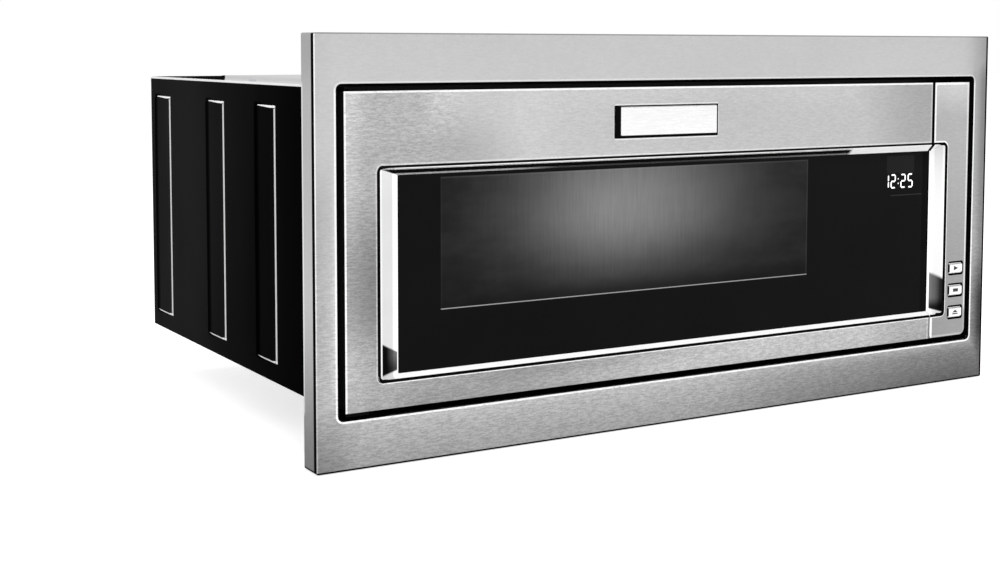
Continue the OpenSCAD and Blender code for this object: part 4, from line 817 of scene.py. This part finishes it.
def case_black():
    """Matt black paint with painted lines of light along its ribs' front and ends and its top edge.
    """
    p = Paint("case_black", Specular_IOR_Level=0.0)
    grain = p.noise(700.0, detail=2.0)
    cloud = p.noise(6.0, stretch=(1, 1, 0.4), detail=3.0)
    side = p.over(p.size(p.x), -case_lo.x - 4 * MM)
    # Painted highlight along the top edge of the sides
    top_edge_highlight = p.ramp(p.z, case_hi.z - 2.2 * MM, case_hi.z - 1.8 * MM)
    line = p.mul(p.any(top_edge_highlight, *[rib_line(p, y) for y in RIB_Y]), side)
    shadow = p.any(*[rib_shadow(p, y) for y in RIB_Y])
    base = p.mul(p.ramp(p.y, 0.0, 420 * MM, 0.002, 0.018), p.spread(cloud, 0.8, 1.2))
    base = p.mul(base, p.flip(p.mul(shadow, RIB_SHADOW)))
    p.set("Base Color", p.tone(p.add(base, line)))
    p.set("Roughness", p.spread(grain, 0.38, 0.5))
    p.bump(grain, 0.015 * MM)
    return p.material


def cover():
    """Galvanised top with a painted dark reflection along each side, widening to the rear."""
    p = Paint("cover_metal")
    spangle = p.crystals(SPANGLE)
    cloud = p.noise(5.0, detail=2.0)
    light = p.mul(p.ramp(spangle, 0.0, 1.0, 0.47, 0.57), p.spread(cloud, 0.96, 1.04))
    inward = p.sub(-case_lo.x, p.size(p.x))
    dark_reflection_width = p.mul(p.sub(p.y, REFLECTION_START), REFLECTION_SLOPE)
    dark_reflection = p.ramp(p.sub(dark_reflection_width, inward), -0.5 * MM, 0.5 * MM)
    # Front edge and right front corner painted black, as shade behind the trim
    front = p.fall(p.y, 2 * MM, 3 * MM)
    corner = p.both(p.fall(p.y, 14 * MM, 15 * MM), p.ramp(p.x, 320 * MM, 321 * MM))
    p.bare_metal(p.tone(light), p.any(dark_reflection, front, corner))
    p.set("Roughness", p.ramp(spangle, 0.0, 1.0, 0.34, 0.46))
    p.bump(spangle, 0.01 * MM)
    return p.material


def zinc_coat():
    """Galvanised sheet with its crystals."""
    p = Paint("galvanised", Metallic=1.0)
    spangle = p.crystals(SPANGLE)
    p.set("Base Color", p.tone(p.ramp(spangle, 0.0, 1.0, 0.48, 0.6), (1.0, 1.01, 1.01)))
    p.set("Roughness", p.ramp(spangle, 0.0, 1.0, 0.32, 0.45))
    p.bump(spangle, 0.01 * MM)
    return p.material


def screws():
    """Zinc screws, painted black where they lie in the cover's painted dark reflection."""
    p, colour = sheet_metal("zinc", (0.55, 0.56, 0.58), 0.3)
    p.bare_metal(colour, p.both(p.over(p.z, case_hi.z - MM), p.over(p.y, 200 * MM)))
    return p.material


side_black = case_black()
cover_metal = cover()
galvanised = zinc_coat()
zinc = screws()

# Buttons and badge


def button():
    """Bright button faces with a rim and side walls painted dark as shade."""
    p = Paint("button_silver")
    streak = p.noise(90.0, stretch=(1, 1, 6), detail=4.0)
    rim = p.any(p.ramp(round_buttons(p), -1.3 * MM, -MM), p.over(p.ny, -BUTTON_FACING))
    p.bare_metal(p.tone(p.spread(streak, 0.88, 0.96)), rim)
    p.set("Roughness", p.spread(streak, 0.25, 0.35))
    p.bump(streak, 0.01 * MM)
    return p.material


def badge():
    """A bare polished plate with its bevels painted dark as shade."""
    p = Paint("badge_metal")
    streak = p.noise(80.0, stretch=(1, 1, 12), detail=4.0)
    x0 = badge_lo.x + 4.2 * MM
    x1 = badge_hi.x - 3.4 * MM
    z0 = badge_lo.z + 3 * MM
    z1 = badge_hi.z - 1.3 * MM
    bevel_shade = p.ramp(p.beyond(x0, x1, z0, z1, radius=MM), 0.0, 0.4 * MM)
    p.bare_metal(p.tone(p.spread(streak, 0.9, 0.95)), bevel_shade)
    p.set("Roughness", p.spread(streak, 0.2, 0.3))
    return p.material


button_silver = button()
badge_metal = badge()

# Plain finishes: name, colour and roughness, and the grain where it isn't the usual one


def metal(*looks, **more):
    """Sheet metal as it is, without its parts."""
    return sheet_metal(*looks, **more)[0].material


plain_black = moulded("plain_black", 0.007, 0.45, Specular_IOR_Level=0.3)
frame_black = moulded("frame_black", 0.004, 0.5, Specular_IOR_Level=0.02)
black_plastic = moulded("black_plastic", 0.012, 0.5)
white_plastic = moulded("white_plastic", (0.76, 0.74, 0.69), 0.45)
duct_plastic = moulded("duct_plastic", (0.62, 0.59, 0.5), 0.5)
fan_plastic = moulded("fan_plastic", (0.66, 0.66, 0.63), 0.45)
rubber = moulded("rubber", 0.02, 0.75)
display_dark = moulded("display_dark", 0.008, 0.2)
mark_ink = moulded("mark_ink", 0.02, 0.5)
screen_metal = moulded("screen_metal", 0.05, 0.5)
pan_enamel = moulded("pan_enamel", 0.05, 0.4, scale=300.0)
enamel = moulded("enamel", (0.43, 0.43, 0.41), 0.3, scale=400.0, depth=0.02 * MM, vary=0.04)
mica = moulded("mica", (0.5, 0.41, 0.27), 0.5, scale=120.0, depth=0.05 * MM, vary=0.25)
board = moulded("board", (0.03, 0.15, 0.06), 0.4, scale=500.0, depth=0.02 * MM, vary=0.2)
bulb_glass = moulded(
    "bulb_glass", (0.95, 0.9, 0.78), 0.08,
    scale=200.0, depth=0.0, vary=0.02, Transmission_Weight=0.8,
)
tray_glass = moulded(
    "tray_glass", (0.86, 0.94, 0.93), 0.06,
    scale=60.0, depth=0.02 * MM, vary=0.02, Transmission_Weight=0.92,
)
inner_film = moulded(
    "inner_film", (0.6, 0.63, 0.63), 0.12,
    scale=300.0, depth=0.01 * MM, vary=0.02, Transmission_Weight=0.7,
)

spring_steel = metal("spring_steel", 0.45, 0.35)
shaft_steel = metal("shaft_steel", 0.55, 0.25)
plated = metal("plated", (0.5, 0.51, 0.52), 0.4)
fins = metal("fins", (0.72, 0.73, 0.74), 0.3)
lamination = metal(
    "lamination", (0.12, 0.12, 0.13), 0.5, scale=400.0, stretch=(1, 6, 1), vary=0.4
)
copper = metal(
    "copper", (0.62, 0.27, 0.1), 0.35, scale=500.0, stretch=(0.2, 0.2, 3), vary=0.4
)

# The finish of each piece

MATERIALS = {
    trim_steel: ["trim_frame"],
    door_steel: ["door_skin"],
    strip_steel: ["control_strip"],
    bezel_chrome: ["control_bezel", "door_bezel"],
    badge_metal: ["badge_plate"],
    button_silver: BUTTONS,
    door_glass: ["door_glass"],
    side_black: ["left_side_panel", "right_side_panel"],
    plain_black: ["rear_panel", "front_plate"],
    frame_black: ["mounting_frame", "hinge_brackets"],
    cover_metal: ["top_cover"],
    galvanised: ["base_plate", "waveguide", "lamp_holder", "fan_shroud", "capacitor_strap"],
    zinc: ["case_screws"],
    spring_steel: ["trim_clips", "latch_spring"],
    rubber: ["cord_gland"],
    enamel: ["oven_cavity"],
    pan_enamel: ["choke_pan"],
    mica: ["waveguide_cover"],
    bulb_glass: ["lamp"],
    black_plastic: [
        "control_housing", "door_frame", "choke_cover", "interlock_switches", "thermal_cutout",
    ],
    white_plastic: [
        "drive_coupler", "roller_ring", "roller_1", "roller_2", "roller_3", "latch_bracket",
        "release_lever", "latch_key",
    ],
    duct_plastic: ["air_duct"],
    fan_plastic: ["fan_wheel"],
    plated: ["magnetron", "turntable_motor", "capacitor"],
    fins: ["magnetron_fins"],
    lamination: ["transformer_core", "fan_motor"],
    copper: ["transformer_windings"],
    board: ["filter_board", "button_board", "touch_board"],
    shaft_steel: ["motor_shaft"],
    tray_glass: ["turntable_tray"],
    screen_metal: ["window_screen"],
    inner_film: ["inner_window"],
    display_dark: ["display_module"],
}
for material, names in MATERIALS.items():
    for name in names:
        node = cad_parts[name]
        node.data.materials.clear()
        node.data.materials.append(material)

# Thin pieces


def flat_piece(name, outlines, y0, y1, material, body, slot):
    """Outlines in X and Z, each a list of points, carried from y0 to y1 as one thin piece."""
    mesh = bpy.data.meshes.new(name)
    made = bmesh.new()
    for outline in outlines:
        near = [made.verts.new((x, y0, z)) for x, z in outline]
        far = [made.verts.new((x, y1, z)) for x, z in outline]
        made.faces.new(near)
        made.faces.new(list(reversed(far)))
        count = len(outline)
        for i in range(count):
            j = (i + 1) % count
            made.faces.new([near[j], near[i], far[i], far[j]])
    bmesh.ops.recalc_face_normals(made, faces=made.faces)
    made.to_mesh(mesh)
    made.free()
    mesh.materials.append(material)
    piece = bpy.data.objects.new(name, mesh)
    bpy.context.scene.collection.objects.link(piece)
    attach(piece, body)


# Clock digits

DIGIT_W = 5.6 * MM
DIGIT_H = 12.8 * MM
DIGIT_Z = 25.8 * MM
DIGIT_HALF = 0.75 * MM
DIGITS = (("1", 241.6 * MM), ("2", 250.9 * MM), ("2", 264.4 * MM), ("5", 274.2 * MM))
COLON_X = 260.6 * MM
DOT_HALF = 0.8 * MM
DOT_HEIGHTS = (0.32, 0.68)
PROUD = 0.05 * MM
SEGMENTS = {
    "1": "bc",
    "2": "abged",
    "5": "afgcd",
}
SEGMENT_ENDS = {
    "a": ((0, 1), (1, 1)),
    "b": ((1, 1), (1, 0.5)),
    "c": ((1, 0.5), (1, 0)),
    "d": ((0, 0), (1, 0)),
    "e": ((0, 0.5), (0, 0)),
    "f": ((0, 1), (0, 0.5)),
    "g": ((0, 0.5), (1, 0.5)),
}


def bar(start, end, half):
    """A pointed segment from one place to another."""
    along = (end - start).normalized()
    side = Vector((-along.y, along.x)) * half
    tip = along * half
    points = [
        start, start + tip + side, end - tip + side,
        end, end - tip - side, start + tip - side,
    ]
    return [(point.x, point.y) for point in points]


def digit(symbol, x):
    """The segments of one digit whose left edge is at x."""
    gap = DIGIT_HALF / 4
    made = []
    for letter in SEGMENTS[symbol]:
        start, end = [
            Vector((x + u * DIGIT_W, DIGIT_Z + v * DIGIT_H)) for u, v in SEGMENT_ENDS[letter]
        ]
        step = (end - start).normalized() * gap
        made.append(bar(start + step, end - step, DIGIT_HALF))
    return made


def dot(share):
    """A dot of the colon, at this share of a digit's height."""
    z = DIGIT_Z + share * DIGIT_H
    return [
        (COLON_X, z - DOT_HALF), (COLON_X + DOT_HALF, z),
        (COLON_X, z + DOT_HALF), (COLON_X - DOT_HALF, z),
    ]


def clock_light():
    """The white light of the digits."""
    p = Paint("clock_light", Roughness=0.4, Emission_Strength=0.75)
    p.set("Base Color", rgba(0.8))
    glow = p.ramp(p.noise(500.0), 0.2, 0.8, 0.9, 1.0)
    p.set("Emission Color", p.tone(glow, (0.95, 1.0, 1.0)))
    return p.material


clock = []
for symbol, x in DIGITS:
    clock += digit(symbol, x)
for share in DOT_HEIGHTS:
    clock.append(dot(share))
flat_piece(
    "clock_digits", clock, glass_lo.y - PROUD, glass_lo.y + PROUD,
    clock_light(), "door", "display_face",
)

# Button marks, in millimetres from the middle of the button

MARK_PROUD = 0.03 * MM
MARK_DEPTH = 0.1 * MM
MARKS = {
    "start_button": [[(-3, -2.4), (3.2, 0), (-3, 2.4)]],
    "cancel_button": [[(-3.6, -1.7), (3.6, -1.7), (3.6, 1.7), (-3.6, 1.7)]],
    "open_button": [
        [(-3.8, -0.3), (3.8, -0.3), (0, 2.5)],
        [(-3.8, -2.3), (3.8, -2.3), (3.8, -1.1), (-3.8, -1.1)],
    ],
}
for name, shapes in MARKS.items():
    low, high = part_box(name)
    centre_x = (low.x + high.x) / 2
    centre_z = (low.z + high.z) / 2
    placed = [[(centre_x + x * MM, centre_z + z * MM) for x, z in shape] for shape in shapes]
    flat_piece(
        name.replace("button", "mark"), placed, low.y - MARK_PROUD, low.y + MARK_DEPTH,
        mark_ink, name, "button_silver",
    )

# Foam seals behind the trim


def cut_rectangle(x0, x1, z0, z1, cut):
    """A rectangle with cut corners."""
    return [
        (x0 + cut, z0), (x1 - cut, z0), (x1, z0 + cut), (x1, z1 - cut),
        (x1 - cut, z1), (x0 + cut, z1), (x0, z1 - cut), (x0, z0 + cut),
    ]


COVER_SEAL_Y = (0.4 * MM, 3.4 * MM)
HINGE_SEAL_Y = (-1.3 * MM, -0.2 * MM)
SEAL_CUT = 0.3 * MM
SEAL_LAP = 0.1 * MM
cover_seal = cut_rectangle(
    -HOLE_X - MM, HOLE_X + MM, case_hi.z + 0.05 * MM, HOLE_Z + SEAL_LAP, SEAL_CUT
)
hinge_seal = cut_rectangle(
    hinge_lo.x - 0.8 * MM, hinge_hi.x + 0.8 * MM, -HOLE_Z - SEAL_LAP, hinge_lo.z - SEAL_LAP,
    SEAL_CUT,
)
flat_piece("cover_seal", [cover_seal], *COVER_SEAL_Y, rubber, "chassis", "black_rubber")
flat_piece("hinge_seal", [hinge_seal], *HINGE_SEAL_Y, rubber, "chassis", "black_rubber")

# Stage

FLOOR_HALF = 14.0
FLOOR_SEEN = 0.62
FLOOR_MIRRORED = 0.3
AMBIENT = 0.55


def seen(tree, camera_strength, mirror_strength):
    """A strength for what the camera sees, one for mirrors and glass, and 0 for what lights."""
    path = tree.nodes.new("ShaderNodeLightPath")
    total = 0.0
    for name, strength in (
        ("Is Camera Ray", camera_strength),
        ("Is Glossy Ray", mirror_strength),
        ("Is Transmission Ray", mirror_strength),
    ):
        share = arithmetic(tree, "MULTIPLY", path.outputs[name], strength)
        total = arithmetic(tree, "MAXIMUM", total, share)
    return total


def floor():
    """A pale floor that is as bright as the background, apart from the object's shadow."""
    mesh = bpy.data.meshes.new("floor")
    z = trim_lo.z - MM
    corners = [
        (-FLOOR_HALF, -FLOOR_HALF, z), (FLOOR_HALF, -FLOOR_HALF, z),
        (FLOOR_HALF, FLOOR_HALF, z), (-FLOOR_HALF, FLOOR_HALF, z),
    ]
    mesh.from_pydata(corners, [], [(0, 1, 2, 3)])
    piece = bpy.data.objects.new("floor", mesh)
    bpy.context.scene.collection.objects.link(piece)
    p = Paint("floor_white", Roughness=0.9, Specular_IOR_Level=0.0)
    p.set("Base Color", rgba(0.8))
    p.set("Emission Color", rgba(1.0))
    p.set("Emission Strength", seen(p.tree, FLOOR_SEEN, FLOOR_MIRRORED))
    mesh.materials.append(p.material)


def studio():
    """White surroundings, at full strength to the eye and in mirrors, and softer as a light."""
    world = bpy.data.worlds.new("studio")
    bpy.context.scene.world = world
    world.use_nodes = True
    tree = world.node_tree
    background = tree.nodes["Background"]
    background.inputs["Color"].default_value = rgba(1.0)
    strength = arithmetic(tree, "ADD", seen(tree, 1.0 - AMBIENT, 1.0 - AMBIENT), AMBIENT)
    put(tree, background.inputs["Strength"], strength)


def softbox(name, place, size, power):
    """A square light that shines on the middle of the object and isn't mirrored in it."""
    middle = Vector((0.0, 0.1, 0.0))
    light = bpy.data.lights.new(name, "AREA")
    light.shape = "SQUARE"
    light.size = size
    light.energy = power
    lamp = bpy.data.objects.new(name, light)
    lamp.location = place
    lamp.rotation_euler = (middle - Vector(place)).to_track_quat("-Z", "Y").to_euler()
    lamp.visible_glossy = False
    bpy.context.scene.collection.objects.link(lamp)


floor()
studio()
softbox("key", (-1.6, -2.6, 2.2), size=2.0, power=60.0)
softbox("fill", (2.4, -2.4, 0.9), size=2.0, power=25.0)
softbox("over", (0.0, 0.4, 3.0), size=2.4, power=40.0)

# Camera

CAMERA_PLACE = (-0.8649, -1.1494, 0.1657)
HEADING = math.radians(-30.32)
TILT = math.radians(-4.17)
ROLL = math.radians(-0.05)
LEVEL = math.radians(90)


def place_camera():
    """Stands at the left of the object, a little above its middle, and looks slightly down."""
    data = bpy.data.cameras.new("camera")
    data.sensor_width = 36.0
    data.lens = 55.415
    data.shift_y = -0.128
    data.clip_start = 0.05
    data.clip_end = 60.0
    camera = bpy.data.objects.new("camera", data)
    turn = (
        Matrix.Rotation(HEADING, 4, "Z")
        @ Matrix.Rotation(TILT, 4, "X")
        @ Matrix.Rotation(ROLL, 4, "Y")
        @ Matrix.Rotation(LEVEL, 4, "X")
    )
    camera.matrix_world = Matrix.Translation(CAMERA_PLACE) @ turn
    bpy.context.scene.collection.objects.link(camera)
    bpy.context.scene.camera = camera


place_camera()
bpy.context.scene.view_settings.view_transform = "Standard"

bpy.context.view_layer.update()
